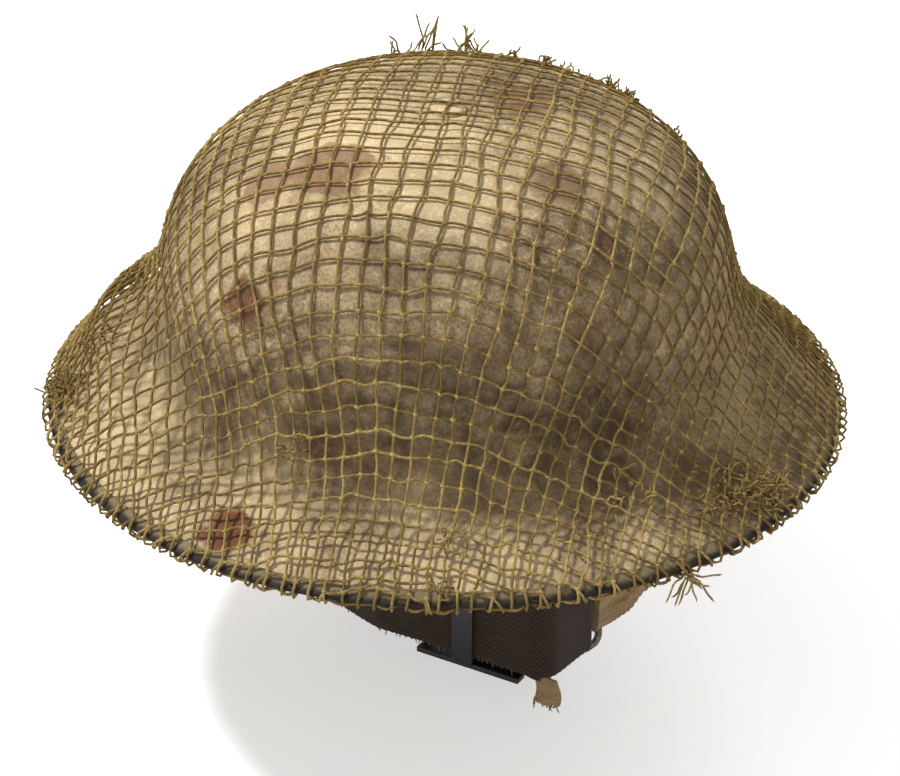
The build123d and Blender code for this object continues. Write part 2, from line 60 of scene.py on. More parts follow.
# Shell: worn, darkened and rusty places, each with its radius and strength; the darkened ones lie
# mostly on the front and right of the lower dome
WEAR_PLACES = (
    ((-14, -30, 106), 60, 1.0),
    ((24, -51, 103), 44, 0.85),
    ((-43, -66, 90), 44, 0.6),
    ((66, 4, 96), 40, 0.6),
    ((-92, -103, 3), 60, 1.0),
    ((-20, -136, -3), 56, 0.9),
    ((60, -122, -4), 52, 1.0),
    ((118, -70, -4), 36, 0.5),
)
DARK_PATCH_PLACES = (
    ((86, -72, 40), 52, 1.0),
    ((91, -59, 26), 50, 1.0),
    ((58, -94, 38), 50, 1.0),
    ((24, -102, 42), 48, 0.95),
    ((60, -90, 60), 34, 0.8),
    ((20, -85, 84), 26, 0.7),
    ((8, -110, 20), 36, 0.9),
    ((-58, -94, 22), 40, 0.7),
    ((116, -50, 4), 40, 0.7),
    ((20, 14, 108), 26, 0.5),
    ((0, 92, 60), 56, 0.55),
    ((-96, 20, 40), 44, 0.6),
)
RUST_PLACES = (
    ((-24, -136, -2), 11, 1.0),
    ((-37, -95, 64), 10, 0.9),
    ((20, 20, 109), 13, 0.65),
    ((-22, -54, 102), 17, 0.7),
    ((-44, -58, 92), 12, 0.6),
    ((54, -25, 102), 12, 0.55),
    ((-100, 60, 20), 16, 0.7),
    ((60, 118, -4), 14, 0.8),
)
# Rim: how far out, in metres, the shell's paint begins to give way to black and has done so
RIM_PAINT_REACH = (0.1486, 0.1508)

# Net: the outline that its strings follow, from the crown down, round the rim and inwards
NET_OUTLINE = (
    (0.0, 109.4),
    (9.0, 109.4),
    (44.0, 107.9),
    (80.2, 93.6),
    (99.3, 73.2),
    (107.2, 47.8),
    (109.6, 24.0),
    (124.0, 5.6),
    (131.8, 0.0),
    (151.6, -11.6),
    (150.4, -14.4),
    (131.0, -3.4),
    (119.6, 0.6),
)
# Net: the stretch of the outline where it hangs free, and its tents there, each as how far off
# it stands, towards which angle, and how wide
NET_FREE = (134.0, 219.0)
TENTS = ((1.4, 0.0, 400.0), (12.5, 204.0, 38.0), (6.0, 24.0, 26.0))
# Net: the step of its outline's table, how far that runs on, and how far out its edge is tied
NET_STEP, NET_RUN_ON, NET_MARGIN = 0.25, 60.0, 3.0
# Net, settling: how steeply it falls from the rim, the shares of a gap mended in a step along a
# taut string, along a slack one and across a squashed mesh, and how stiff a string is sideways
HUNG_SHARE = 0.8
TAUT_PULL, SLACK_PUSH = 0.5, 0.012
SHEAR_SHARE, SHEAR_PUSH = 0.3, 0.35
EASING, SIDE_STIFFNESS = 1.6, 0.06
# Net, settled: waves in which its knots stray, as length and size, and each knot's own shift
WANDER_WAVES = ((46.0, 1.1), (24.0, 0.6))
WANDER_DRAWS, KNOT_SHIFT = 3, 0.28
# Net: parts of its grid, and for each direction a knot with its two neighbours on a string
ALL, FIRST, LAST = slice(None), slice(None, -1), slice(1, None)
MIDDLE, BEFORE, AFTER = slice(1, -1), slice(None, -2), slice(2, None)
STRING_TRIPLES = (
    ((MIDDLE, ALL), (BEFORE, ALL), (AFTER, ALL)),
    ((ALL, MIDDLE), (ALL, BEFORE), (ALL, AFTER)),
)
# Net: a string's slack and sideways bow between two knots, and how proud it stands
SLACK_REACH, SLACK_MOST = 1.03, 2.2
SWING_TAUT, SWING_SLACK, SWING_MOST = 0.02, 0.045, 1.3
STRING_PROUD, STRING_SAMPLES, TUFT_SAMPLES = 0.3, 6, 9
SHORTEST_STEP, END_WIDTH = 0.02, 0.03
HEM_SHIFT, SELVEDGE_SHIFT = 0.6, 3.6
# Net: a knot's two lumps as turn, size and place, and how all knots are turned and raised
KNOT_LUMPS = (
    (0, (1.0, 0.62, 0.55), (0.0, 0.0, 0.1)),
    (62, (0.92, 0.5, 0.5), (0.05, 0.1, 0.38)),
)
KNOT_TURN, KNOT_RISE, KNOT_ROUGHNESS = 40.0, 0.25, 0.045
# Net: frayed ends as flat place, number, length, spread and how steeply they rise
TUFTS = (
    ((-44.3, 56.7), 8, 11.0, 2.4, 0.55),
    ((-38.1, 63.4), 7, 15.0, 1.4, 0.8),
    ((-25.3, 69.5), 9, 13.0, 2.0, 0.75),
    ((-18.0, 68.0), 7, 8.0, 2.6, 0.5),
    ((-6.0, 71.0), 10, 5.0, 2.0, 0.4),
    ((7.7, 73.6), 18, 5.0, 2.0, 0.45),
    ((19.1, 76.7), 12, 4.0, 3.0, 0.35),
    ((35.9, 77.0), 26, 6.0, 2.4, 0.5),
    ((44.0, 77.0), 18, 5.0, 2.4, 0.4),
    ((69.3, 69.3), 12, 4.0, 2.0, 0.4),
    ((-176.7, -102.0), 60, 7.0, 5.0, 0.3),
    ((-150.0, -96.0), 12, 9.0, 5.0, 0.25),
    ((198.3, -38.5), 70, 7.0, 5.5, 0.35),
    ((188.0, -56.6), 44, 7.0, 5.5, 0.3),
    ((180.0, -80.0), 14, 9.0, 6.0, 0.25),
    ((186.0, -111.8), 16, 14.0, 2.2, 0.3),
    ((84.6, -190.0), 12, 8.0, 3.0, 0.3),
    ((80.0, -170.0), 9, 7.0, 3.0, 0.25),
    ((-8.4, -159.8), 12, 7.0, 3.0, 0.3),
    ((146.6, -102.7), 12, 8.0, 3.6, 0.3),
    ((60.0, 180.0), 12, 8.0, 4.0, 0.3),
    ((-120.0, 140.0), 14, 9.0, 5.0, 0.3),
)

# Chin strap, seen from above: the bend at the front, then the bend at each side with the
# direction and length of its way on to the ring, and the side that its end is turned back to
FRONT_BEND = np.array((-6.0, -45.0))
SIDE_BENDS = {
    "right": (np.array((-60.0, -21.5)), 118.0, 16.0, 1),
    "left": (np.array((65.0, -52.3)), 76.0, 30.0, -1),
}
BEND_RADII = (8.0, 14.0, 8.0)
FOLD_RADIUS, FOLD_GAP, FOLD_RUN = 2.5, 0.05, 12.0
FRONT = SIDE_BENDS["left"][0] - FRONT_BEND
FRONT /= np.linalg.norm(FRONT)
INWARD = np.array((-FRONT[1], FRONT[0]))
TAIL_LAYER, TAIL_DROP, TAIL_LENGTH = 2.1, 2.4, 36.4
TAIL_BEND_BACK, TAIL_RADIUS, TAIL_END = 1.1, 5.9, 12.0
FLAP_SHARES, FLAP_SHIFT, FLAP_LENGTH = (0.5, 0.74), 9.0, 12.5
FLAP_OVERLAP, FLAP_FRAY = 2.5, 9.5
# Threads: seed, number and radius in metres, and the stretch and step of those on the edge
THREAD_SEED, THREAD_COUNT, THREAD_RADIUS = 5, 34, 0.00022
THREAD_STRETCH = (70, 150, 2.1)
BUCKLE_PLACE = 71.37 * 0.55
# Buckle: each bar's middle and size, along the webbing, up it and out of it
BUCKLE_BARS = (
    ((0, 19.2, -1.0), (44, 2.4, 5.6)),
    ((0, -19.2, -1.0), (44, 2.4, 5.6)),
    ((20.6, 0, -4.0), (2.8, 38.0, 1.4)),
    ((-20.6, 0, -4.0), (2.8, 38.0, 1.4)),
    ((-2.0, 0, 1.9), (9.0, 38.0, 1.4)),
)
# Sleeves: the bail's place, the height of their upper end and how far past the ring they end
BAIL_PLACE, SLEEVE_TOP, SLEEVE_END = 99.4, -9.0, 15.0
SLEEVE_WIDTH, SLEEVE_THICKNESS = 26.0, 8.0
SLEEVE_FALL, SLEEVE_PULL = 40.0, 24.0

# Liner: the head's oval, the cradle straps' lines and the crown pad's cross
END_RADIUS, END_CENTRE = 72.0, 24.0
SIDE_RADIUS, SIDE_CENTRE = 102.0, 18.0
OVAL_JOINT = SIDE_CENTRE / math.hypot(SIDE_CENTRE, END_CENTRE)
BAND_LENGTH_M = 0.566
COVER_SECTION = ((0.5, 41.9), (0.5, 0.5), (3.0, 0.5), (3.0, 11.8))
COVER_RADII = (1.1, 1.1)
STITCH_HEIGHT, STITCH_STEP, STITCH_SPAN = 8.5, 1.15, 0.65
STITCH_SEED, STITCH_RADIUS = 3, 0.00028
CRADLE_SHARES = ((0.42, 0.0), (0.78, 0.305), (0.97, 0.72))
CRADLE_TOPS = {"long": 101.8, "cross": 100.5}
CRADLE_REACH = {"long": 98.5, "cross": 86.5}
CRADLE_TURN, CRADLE_END, CRADLE_THICKNESS = 46.0, 14.0, 1.2
PAD_TOP, PAD_HALF_ARM, PAD_HALVES, PAD_HOLE = 99.0, 17.0, (49.0, 56.0), 16.5
PAD_GAP, PAD_EDGE = 0.3, 0.0022
# Distance between yarns, in metres
TAPE_YARN, SLEEVE_YARN, OILCLOTH_YARN, THREAD_YARN = 0.0011, 0.0009, 0.0009, 0.0006

# Studio
FLOOR_LEVEL, FLOOR_SIZE, FLOOR_LIFT = -0.125, 6.0, 0.42
FLOOR_COLOUR = (0.93, 0.93, 0.93, 1.0)
SKY_STRENGTH = 0.48
# Lamps: name, place, width and power, all aimed at one point
LAMP_AIM = (0, 0, 0.03)
LAMPS = (
    ("key", (-1.0, -0.35, 1.9), 0.34, 52.0),
    ("fill", (1.2, -1.5, 1.0), 1.4, 6.0),
    ("back", (0.3, 1.7, 1.5), 1.2, 14.0),
)
# Camera: azimuth, elevation and roll, then pixels of a picture 900 wide
CAMERA_ANGLES = (24.0, 27.9, -0.73)
CAMERA_DISTANCE, CAMERA_TARGET_HEIGHT = 1.5, 0.038
CAMERA_FOCUS, PICTURE_WIDTH, SENSOR_WIDTH = 4027.0, 900, 36.0
CAMERA_AIM_OFFSET = (3.4, 110.8)


def length_property(label, description, default):
    """A size in metres that a user can change."""
    return FloatProperty(
        name=label, description=description, default=default, unit="LENGTH", subtype="DISTANCE"
    )


def colour_property(label, description, default):
    """A linear colour that a user can change."""
    return FloatVectorProperty(
        name=label, description=description, default=default, subtype="COLOR", min=0.0, max=1.0
    )


def linear(red, green, blue):
    """Linear colour of a screen colour given from 0 to 255."""
    return tuple(
        (c / 255) / 12.92 if c <= 10 else ((c / 255 + 0.055) / 1.055) ** 2.4
        for c in (red, green, blue)
    )


class NetSettings(bpy.types.PropertyGroup):
    """Sizes of the string net."""

    pitch: length_property("Mesh", "Distance between two knots along a string", 0.0085)
    twine: length_property("Twine radius", "Radius of a string", 0.00052)
    knot: length_property("Knot radius", "Half the width of a knot", 0.00112)
    hem: length_property("Hem cord radius", "Radius of the cord in the hem", 0.001)
    turn: FloatProperty(
        name="Turn",
        description="Direction in which one set of strings runs",
        default=math.radians(-75.0),
        subtype="ANGLE",
        unit="ROTATION",
    )
    settling: IntProperty(
        name="Settling", description="Steps in which the net settles", default=900, min=1
    )
    seed: IntProperty(name="Seed", description="Start of the random slack", default=11)


class StrapSettings(bpy.types.PropertyGroup):
    """Sizes of the chin strap."""

    width: length_property("Webbing width", "Height of the webbing on edge", 0.032)
    thickness: length_property("Webbing thickness", "Thickness of the webbing", 0.0018)
    level: length_property("Level", "Height of the webbing's middle", -0.076)
    rib: length_property("Sleeve rib", "Pitch of the sleeve's ribs", 0.0016)


class LinerSettings(bpy.types.PropertyGroup):
    """Sizes of the liner."""

    cradle: length_property("Cradle width", "Width of the cradle's straps", 0.030)
    cloth: length_property("Cloth thickness", "Thickness of the oilcloth", 0.001)
    pad: length_property("Pad thickness", "Thickness of the crown pad", 0.010)


class FinishSettings(bpy.types.PropertyGroup):
    """Colours of the helmet's finishes."""

    paint: colour_property("Paint", "Rough khaki paint", linear(176, 154, 116))
    # Dark paint also colours the darker patches on the front and right of the lower dome
    paint_dark: colour_property("Dark paint", "Grime on the paint", linear(78, 62, 41))
    wear: colour_property("Wear", "Pale ground where paint is worn", linear(232, 208, 162))
    rust: colour_property("Rust", "Rusted steel", linear(120, 76, 46))
    rim: colour_property("Rim", "Black paint on the rim", linear(30, 26, 21))
    twine: colour_property("Twine", "Olive twine", linear(166, 142, 86))
    twine_dark: colour_property("Dark twine", "Soiled twine", linear(112, 90, 48))
    twine_pale: colour_property("Pale twine", "Bleached twine", linear(204, 184, 122))
    # The strap's cotton and its soil are set darker than the webbing's own khaki, as painted shade
    # under the brim
    cotton: colour_property("Strap", "Dark cotton webbing", linear(54, 40, 28))
    cotton_soil_and_shade: colour_property("Strap soil", "Soil on the webbing", linear(38, 27, 20))
    sleeve: colour_property("Sleeve", "Pale cotton over the springs", linear(164, 136, 96))
    sleeve_soil: colour_property("Sleeve soil", "Soil on the sleeves", linear(112, 86, 56))
    tape: colour_property("Tape", "Khaki tape of the cradle", linear(86, 74, 54))
    tape_soil: colour_property("Tape soil", "Soil on the cradle's tape", linear(46, 38, 28))
    thread: colour_property("Thread", "Brown thread of the band", linear(120, 96, 62))
    thread_soil: colour_property("Thread soil", "Soil on the thread", linear(70, 52, 34))
    black: colour_property("Buckle", "Black enamel", linear(26, 26, 28))
    steel: colour_property("Fastener", "Dull plated steel", linear(150, 148, 138))
    fibre: colour_property("Fibre", "Brown fibre board", linear(78, 50, 32))
    oilcloth: colour_property("Oilcloth", "Black oilcloth", linear(40, 38, 36))
    dust: colour_property("Dust", "Dust on the oilcloth", linear(96, 84, 66))
    rubber: colour_property("Rubber", "Grey-black rubber", linear(58, 54, 50))


SETTINGS = {
    "helmet_net": NetSettings,
    "helmet_strap": StrapSettings,
    "helmet_liner": LinerSettings,
    "helmet_finish": FinishSettings,
}


# Materials


def wired(tree, kind, settings=None, **inputs):
    """A new node with those settings, each input a value or a socket, by name or as _number."""
    made = tree.nodes.new(kind)
    for key, value in (settings or {}).items():
        setattr(made, key, value)
    for key, value in inputs.items():
        socket = made.inputs[int(key[1:])] if key[1:].isdigit() else made.inputs[key]
        if isinstance(value, bpy.types.NodeSocket):
            tree.links.new(value, socket)
        elif value is not None:
            socket.default_value = value
    return made


def scaled(colour, share):
    """The colour made lighter or darker by that share."""
    return [channel * share for channel in colour]


class Finish:
    """A material in the making, with short calls for the nodes it is wired from."""

    def __init__(self, name, roughness, metallic=0.0, **sockets):
        self.material = bpy.data.materials.new(name)
        self.material.use_nodes = True
        self.tree = self.material.node_tree
        self.surface = self.tree.nodes["Principled BSDF"]
        self.surface.inputs["Roughness"].default_value = roughness
        self.surface.inputs["Metallic"].default_value = metallic
        for socket, value in sockets.items():
            self.surface.inputs[socket.replace("_", " ")].default_value = value
        self.place = self.node("ShaderNodeTexCoord").outputs["Object"]

    def node(self, kind, settings=None, **inputs):
        return wired(self.tree, kind, settings, **inputs)

    def noise(self, scale, detail=4.0, roughness=0.6, vector=None, distortion=0.0):
        return self.node(
            "ShaderNodeTexNoise",
            Vector=vector or self.place,
            Scale=scale,
            Detail=detail,
            Roughness=roughness,
            Distortion=distortion,
        ).outputs["Fac"]

    def sum(self, operation, first, second=None, third=None):
        made = self.node(
            "ShaderNodeMath", {"operation": operation}, _0=first, _1=second, _2=third
        )
        return made.outputs[0]

    def part(self, value, share):
        """That share of a value."""
        return self.sum("MULTIPLY", value, share)

    def vector(self, operation, first, second=None):
        made = self.node("ShaderNodeVectorMath", {"operation": operation}, _0=first, _1=second)
        return made.outputs["Value" if operation in ("LENGTH", "DISTANCE") else "Vector"]

    def ease(self, value, low, high, start=0.0, end=1.0):
        """value, eased from start at low to end at high."""
        settings = {"interpolation_type": "SMOOTHSTEP"}
        made = self.node(
            "ShaderNodeMapRange", settings, _0=value, _1=low, _2=high, _3=start, _4=end
        )
        return made.outputs[0]

    def patches(self, scale, detail, roughness, low, high, start=0.0, **how):
        """Patches of noise, eased from start at low to 1 at high."""
        return self.ease(self.noise(scale, detail, roughness, **how), low, high, start)

    def mix(self, share, first, second):
        made = self.node("ShaderNodeMix", {"data_type": "RGBA"}, _0=share)
        for index, value in ((6, first), (7, second)):
            if isinstance(value, bpy.types.NodeSocket):
                self.tree.links.new(value, made.inputs[index])
            else:
                made.inputs[index].default_value = (*value[:3], 1.0)
        return made.outputs[2]

    def spot(self, centre, radius, ragged, scale, core):
        """1 in the core of a place in millimetres, 0 from the radius on, with a ragged edge."""
        radius *= MM
        away = self.vector("DISTANCE", self.place, tuple(c * MM for c in centre))
        frayed = self.sum("MULTIPLY_ADD", self.noise(scale), radius * ragged * 2, away)
        return self.ease(frayed, radius * (core + ragged), radius * (1.1 + ragged), 1, 0)

    def marks(self, places, ragged, scale, core=0.1, least=None):
        """The strongest of a table's spots at each point, and no less than least."""
        for place, radius, strength in places:
            mark = self.part(self.spot(place, radius, ragged, scale, core), strength)
            least = mark if least is None else self.sum("MAXIMUM", least, mark)
        return least

    def woven_axes(self):
        """The piece's own two directions, in metres."""
        own = self.node("ShaderNodeUVMap", {"uv_map": "UVMap"})
        split = self.node("ShaderNodeSeparateXYZ", Vector=own.outputs[0])
        return split.outputs[0], split.outputs[1]

    def plain_weave(self, yarn):
        """Height of a plain weave with that distance between yarns."""
        warp, weft = (
            self.sum("SINE", self.part(way, math.pi / yarn)) for way in self.woven_axes()
        )
        return self.sum("MULTIPLY_ADD", self.sum("MULTIPLY", warp, weft), 0.5, 0.5)

    def attribute(self, name):
        return self.node("ShaderNodeAttribute", {"attribute_name": name}).outputs["Fac"]

    def coloured(self, colour):
        self.tree.links.new(colour, self.surface.inputs["Base Color"])

    def roughened(self, value, span, base):
        """Roughness from base, up by the span where the value is 1."""
        rough = self.sum("MULTIPLY_ADD", value, span, base)
        self.tree.links.new(rough, self.surface.inputs["Roughness"])

    def bumped(self, height, depth, strength=1.0):
        """Relief of that depth in metres, on top of any relief that is there already."""
        bump = self.node("ShaderNodeBump", Height=height, Distance=depth, Strength=strength)
        before = self.surface.inputs["Normal"]
        if before.is_linked:
            self.tree.links.new(before.links[0].from_socket, bump.inputs["Normal"])
        self.tree.links.new(bump.outputs[0], before)


def shell_finish(colours):
    """Rough khaki paint, worn pale on the crown, darker in patches at the front and right towards
    the foot, with spots of rust.
    """
    made = Finish("khaki_shell_paint", 0.82, Specular_IOR_Level=0.3)
    broad = made.patches(16.0, 5.0, 0.65, low=0.3, high=0.56)
    colour = made.mix(broad, colours.paint_dark, colours.paint)
    cloudy = made.patches(62.0, 6.0, 0.72, distortion=0.6, low=0.5, high=0.66)
    colour = made.mix(made.part(cloudy, 0.6), colour, colours.paint_dark)
    blotched = made.patches(95.0, 5.0, 0.7, distortion=0.4, low=0.52, high=0.66)
    colour = made.mix(made.part(blotched, 0.35), colour, colours.wear)
    speckle = made.patches(900.0, 3.0, 0.7, low=0.44, high=0.62)
    colour = made.mix(made.part(speckle, 0.5), colour, colours.paint_dark)
    pale = made.patches(420.0, 6.0, 0.75, low=0.54, high=0.68)
    worn = made.marks(WEAR_PLACES, ragged=0.6, scale=60.0)
    flaked = made.sum("MULTIPLY", worn, made.sum("MULTIPLY_ADD", pale, 0.5, 0.5))
    colour = made.mix(flaked, colour, colours.wear)
    colour = made.mix(made.part(pale, 0.34), colour, colours.wear)
    # Darker patches, most of them on the front and right of the lower dome
    dark_patches = made.marks(DARK_PATCH_PLACES, ragged=0.8, scale=48.0)
    patchy = made.patches(85.0, 6.0, 0.75, distortion=0.5, low=0.34, high=0.62, start=0.5)
    colour = made.mix(made.sum("MULTIPLY", dark_patches, patchy), colour, colours.paint_dark)
    rusty = made.part(made.patches(44.0, 9.0, 0.75, low=0.55, high=0.66), 0.55)
    rusty = made.marks(RUST_PLACES, ragged=0.7, scale=150.0, core=0.7, least=rusty)
    tone = made.patches(300.0, 5.0, 0.7, low=0.35, high=0.65)
    rust = made.mix(tone, colours.rust, scaled(colours.rust, 0.42))
    made.coloured(made.mix(rusty, colour, rust))
    made.roughened(speckle, 0.12, 0.74)
    made.bumped(made.noise(1500.0, 3.0, 0.75), 0.0005, 0.7)
    made.bumped(made.noise(260.0, 4.0, 0.6), 0.0007, 0.5)
    return made.material


def rim_finish(colours):
    """Black paint, soiled and chipped to rust, with the shell's paint run over its inner edge."""
    made = Finish("black_rim_paint", 0.72, Specular_IOR_Level=0.2)
    chipped = made.patches(240.0, 6.0, 0.7, low=0.6, high=0.66)
    dust = made.patches(90.0, 4.0, 0.6, low=0.45, high=0.75)
    colour = made.mix(made.part(dust, 0.4), colours.rim, colours.paint_dark)
    out = made.vector("LENGTH", made.vector("MULTIPLY", made.place, (1.0, 1.0, 0.0)))
    ragged = made.sum("MULTIPLY_ADD", made.noise(160.0, 5.0, 0.7), 0.004, out)
    painted = made.part(made.ease(ragged, *RIM_PAINT_REACH, start=1, end=0), 0.75)
    colour = made.mix(painted, colour, scaled(colours.paint, 0.55))
    made.coloured(made.mix(made.part(chipped, 0.5), colour, colours.rust))
    made.roughened(dust, 0.2, 0.66)
    made.bumped(made.noise(700.0, 4.0, 0.65), 0.0002, 0.5)
    return made.material


def metal_finish(name, colour, soil, roughness=0.42):
    """Dull plated metal with fine scratches and soil in patches."""
    made = Finish(name, roughness, 0.85)
    worn = made.patches(260.0, 6.0, 0.7, low=0.45, high=0.7)
    made.coloured(made.mix(worn, colour, soil))
    made.roughened(worn, 0.3, roughness - 0.05)
    made.bumped(made.noise(1300.0, 4.0, 0.6), 0.00008, 0.5)
    return made.material


def enamel_finish(colours):
    """Black enamel, rubbed brown at places."""
    made = Finish("black_enamel", 0.36, Specular_IOR_Level=0.5)
    rubbed = made.patches(320.0, 6.0, 0.7, low=0.6, high=0.72)
    made.coloured(made.mix(made.part(rubbed, 0.5), colours.black, colours.rust))
    made.roughened(rubbed, 0.3, 0.34)
    made.bumped(made.noise(900.0, 3.0, 0.6), 0.00008, 0.5)
    return made.material


def fibre_finish(colours):
    """Brown vulcanised fibre board."""
    made = Finish("brown_fibre_board", 0.6, Specular_IOR_Level=0.35)
    mottled = made.noise(120.0, 6.0, 0.7)
    made.coloured(made.mix(mottled, colours.fibre, scaled(colours.fibre, 2.1)))
    made.bumped(made.noise(1100.0, 4.0, 0.7), 0.00015, 0.6)
    made.roughened(mottled, 0.25, 0.48)
    return made.material


def rubber_finish(colours):
    """Old rubber with a bloom of dust."""
    made = Finish("old_rubber", 0.7, Specular_IOR_Level=0.3)
    bloom = made.patches(110.0, 5.0, 0.65, low=0.4, high=0.7)
    dusty = [c * 2.0 + 0.01 for c in colours.rubber]
    made.coloured(made.mix(bloom, colours.rubber, dusty))
    made.bumped(made.noise(1600.0, 3.0, 0.6), 0.00012, 0.6)
    made.roughened(bloom, 0.2, 0.62)
    return made.material


def oilcloth_finish(colours):
    """Black oilcloth with a woven ground that shows through and creases."""
    made = Finish("black_oilcloth", 0.5, Specular_IOR_Level=0.4)
    made.bumped(made.plain_weave(OILCLOTH_YARN), 0.00012, 0.7)
    made.bumped(made.noise(160.0, 5.0, 0.6, distortion=0.8), 0.0012, 0.45)
    dust = made.patches(70.0, 5.0, 0.6, low=0.42, high=0.72)
    made.coloured(made.mix(made.part(dust, 0.5), colours.oilcloth, colours.dust))
    made.roughened(dust, 0.3, 0.42)
    return made.material


def webbing_finish(name, colour, soil, yarn, stained=0.45):
    """Cotton webbing with its weave, fuzz, soil and paler rubbed yarns, and painted shade along
    the weave.
    """
    made = Finish(name, 0.92, Specular_IOR_Level=0.15, Sheen_Weight=0.15, Sheen_Roughness=0.5)
    weave = made.plain_weave(yarn)
    own = made.node("ShaderNodeUVMap", {"uv_map": "UVMap"}).outputs[0]
    drawn = made.node("ShaderNodeMapping", Vector=own, Scale=(1.0, 14.0, 1.0)).outputs[0]
    yarns = made.patches(90.0, 4.0, 0.6, vector=drawn, low=0.3, high=0.7)
    base = made.mix(yarns, scaled(colour, 0.72), scaled(colour, 1.3))
    # For the chin strap's webbing the soil colour is partly painted shade
    soiled = made.patches(55.0, 6.0, 0.65, low=0.38, high=0.7)
    base = made.mix(made.part(soiled, stained), base, soil)
    # Painted shade: the colour is darkened by up to a quarter following the weave's relief
    made.coloured(made.mix(made.part(weave, 0.2475), base, (0.0, 0.0, 0.0)))
    made.bumped(weave, 0.0003, 0.9)
    made.bumped(made.noise(1500.0, 3.0, 0.7), 0.0002, 0.5)
    return made.material


def twine_finish(colours):
    """Two-ply olive twine with soil and bleaching in places and a twist along each string; the
    knots and the strings near them are lighter as painted highlight, and the ply grooves darker as
    painted shade.
    """
    made = Finish("olive_twine", 0.9, Specular_IOR_Level=0.15)
    ply, shade = made.attribute("ply"), made.attribute("shade")
    broad = made.patches(24.0, 5.0, 0.65, low=0.35, high=0.68)
    # Painted light: the shade attribute makes strings lighter at the knots and darker midway
    # between them, and the knots lighter still, besides each string's random tone
    own = made.sum("MULTIPLY_ADD", shade, 0.55, -0.1)
    mixed = made.ease(made.sum("MULTIPLY_ADD", broad, 0.45, own), low=0.1, high=0.9)
    colour = made.mix(mixed, colours.twine_dark, colours.twine)
    fine = made.patches(520.0, 4.0, 0.7, low=0.52, high=0.7)
    # Bleaching is strongest where the shade attribute is highest, so it also adds to the painted
    # highlight at the knots
    bleach_and_highlight = made.sum("MULTIPLY", fine, made.ease(shade, low=0.3, high=1.0))
    colour = made.mix(made.part(bleach_and_highlight, 0.75), colour, colours.twine_pale)
    # Painted shade: the grooves between the plies are darkened by up to half towards a deep twine
    # brown
    ply_groove_shade = made.ease(ply, low=-1.0, high=-0.2, start=0.5, end=0.0)
    made.coloured(made.mix(ply_groove_shade, colour, scaled(colours.twine_dark, 0.4)))
    made.bumped(ply, 0.0002, 0.8)
    made.bumped(made.noise(2600.0, 2.0, 0.7), 0.00015, 0.6)
    return made.material


# Shapes


def unit(vectors):
    """Vectors of length 1 that point the same ways."""
    return vectors / np.maximum(np.linalg.norm(vectors, axis=-1, keepdims=True), 1e-6)


def ramp(value, start, span):
    """0 up to the start, then evenly up to 1 over that span."""
    return np.clip((value - start) / span, 0, 1)


def left_of(ahead):
    """Directions in a plane, turned a quarter to their left."""
    return np.stack([-ahead[..., 1], ahead[..., 0]], axis=-1)


def filleted(corners, radii=None):
    """Points of a line through the corners, each corner rounded in steps of a few degrees."""
    points = [np.array(c, float) for c in corners]
    line = [points[0]]
    for index in range(1, len(points) - 1):
        before = points[index - 1] - points[index]
        after = points[index + 1] - points[index]
        reach = min(np.linalg.norm(before), np.linalg.norm(after)) * FILLET_SHARE
        before /= np.linalg.norm(before)
        after /= np.linalg.norm(after)
        turn = math.pi - math.acos(float(np.clip(before @ after, -1, 1)))
        if turn < 1e-4:
            line.append(points[index])
            continue
        radius = radii[index - 1] if radii else reach / math.tan(turn / 2)
        reach = radius * math.tan(turn / 2)
        middle = before + after
        middle *= radius / math.cos(turn / 2) / np.linalg.norm(middle)
        centre = points[index] + middle
        start = points[index] + before * reach - centre
        end = points[index] + after * reach - centre
        steps = max(2, int(math.degrees(turn) / FILLET_STEP))
        for angle in turn * np.arange(steps + 1) / steps:
            arm = start * math.sin(turn - angle) + end * math.sin(angle)
            line.append(centre + arm / math.sin(turn))
    line.append(points[-1])
    return np.array(line)


class Course:
    """A line of points that can be asked for its place and heading at any length along it."""

    def __init__(self, points):
        points = np.asarray(points, float)
        steps = np.linalg.norm(np.diff(points, axis=0), axis=1)
        self.points = points[np.concatenate([[True], steps > 1e-6])]
        steps = np.linalg.norm(np.diff(self.points, axis=0), axis=1)
        self.marks = np.concatenate([[0], np.cumsum(steps)])
        self.length = float(self.marks[-1])

    def at(self, length):
        places = [np.interp(length, self.marks, column) for column in self.points.T]
        return np.stack(places, axis=-1)

    def heading(self, length, span=0.4):
        after = self.at(np.minimum(length + span, self.length))
        return unit(after - self.at(np.maximum(length - span, 0)))


def finished(shape, name, material, body, slot, *replaced, smooth=True):
    """The shape or mesh as an object that rides on that body and stands for those nodes."""
    mesh = shape
    if isinstance(shape, bmesh.types.BMesh):
        mesh = bpy.data.meshes.new(name)
        shape.to_mesh(mesh)
        shape.free()
    mesh.materials.clear()
    mesh.materials.append(material)
    if smooth:
        mesh.shade_smooth()
    piece = bpy.data.objects.new(name, mesh)
    bpy.context.scene.collection.objects.link(piece)
    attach(piece, body)
    if replaced:
        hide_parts(*replaced)
    return piece


def laid_sheet(columns, rows, place, spread, joined=False):
    """A grid of faces laid where place(u, v) says in millimetres, with its own flat UV map."""
    shape = bmesh.new()
    bmesh.ops.create_grid(shape, x_segments=columns, y_segments=rows, size=0.5)
    own = shape.loops.layers.uv.new("UVMap")
    for face in shape.faces:
        for loop in face.loops:
            u, v = loop.vert.co.x + 0.5, loop.vert.co.y + 0.5
            loop[own].uv = (u * spread[0] * MM, v * spread[1] * MM)
    flat = np.array([(v.co.x + 0.5, v.co.y + 0.5) for v in shape.verts])
    for vertex, co in zip(shape.verts, place(flat[:, 0], flat[:, 1]) * MM):
        vertex.co = co
    if joined:
        bmesh.ops.remove_doubles(shape, verts=shape.verts, dist=1e-6)
    return shape


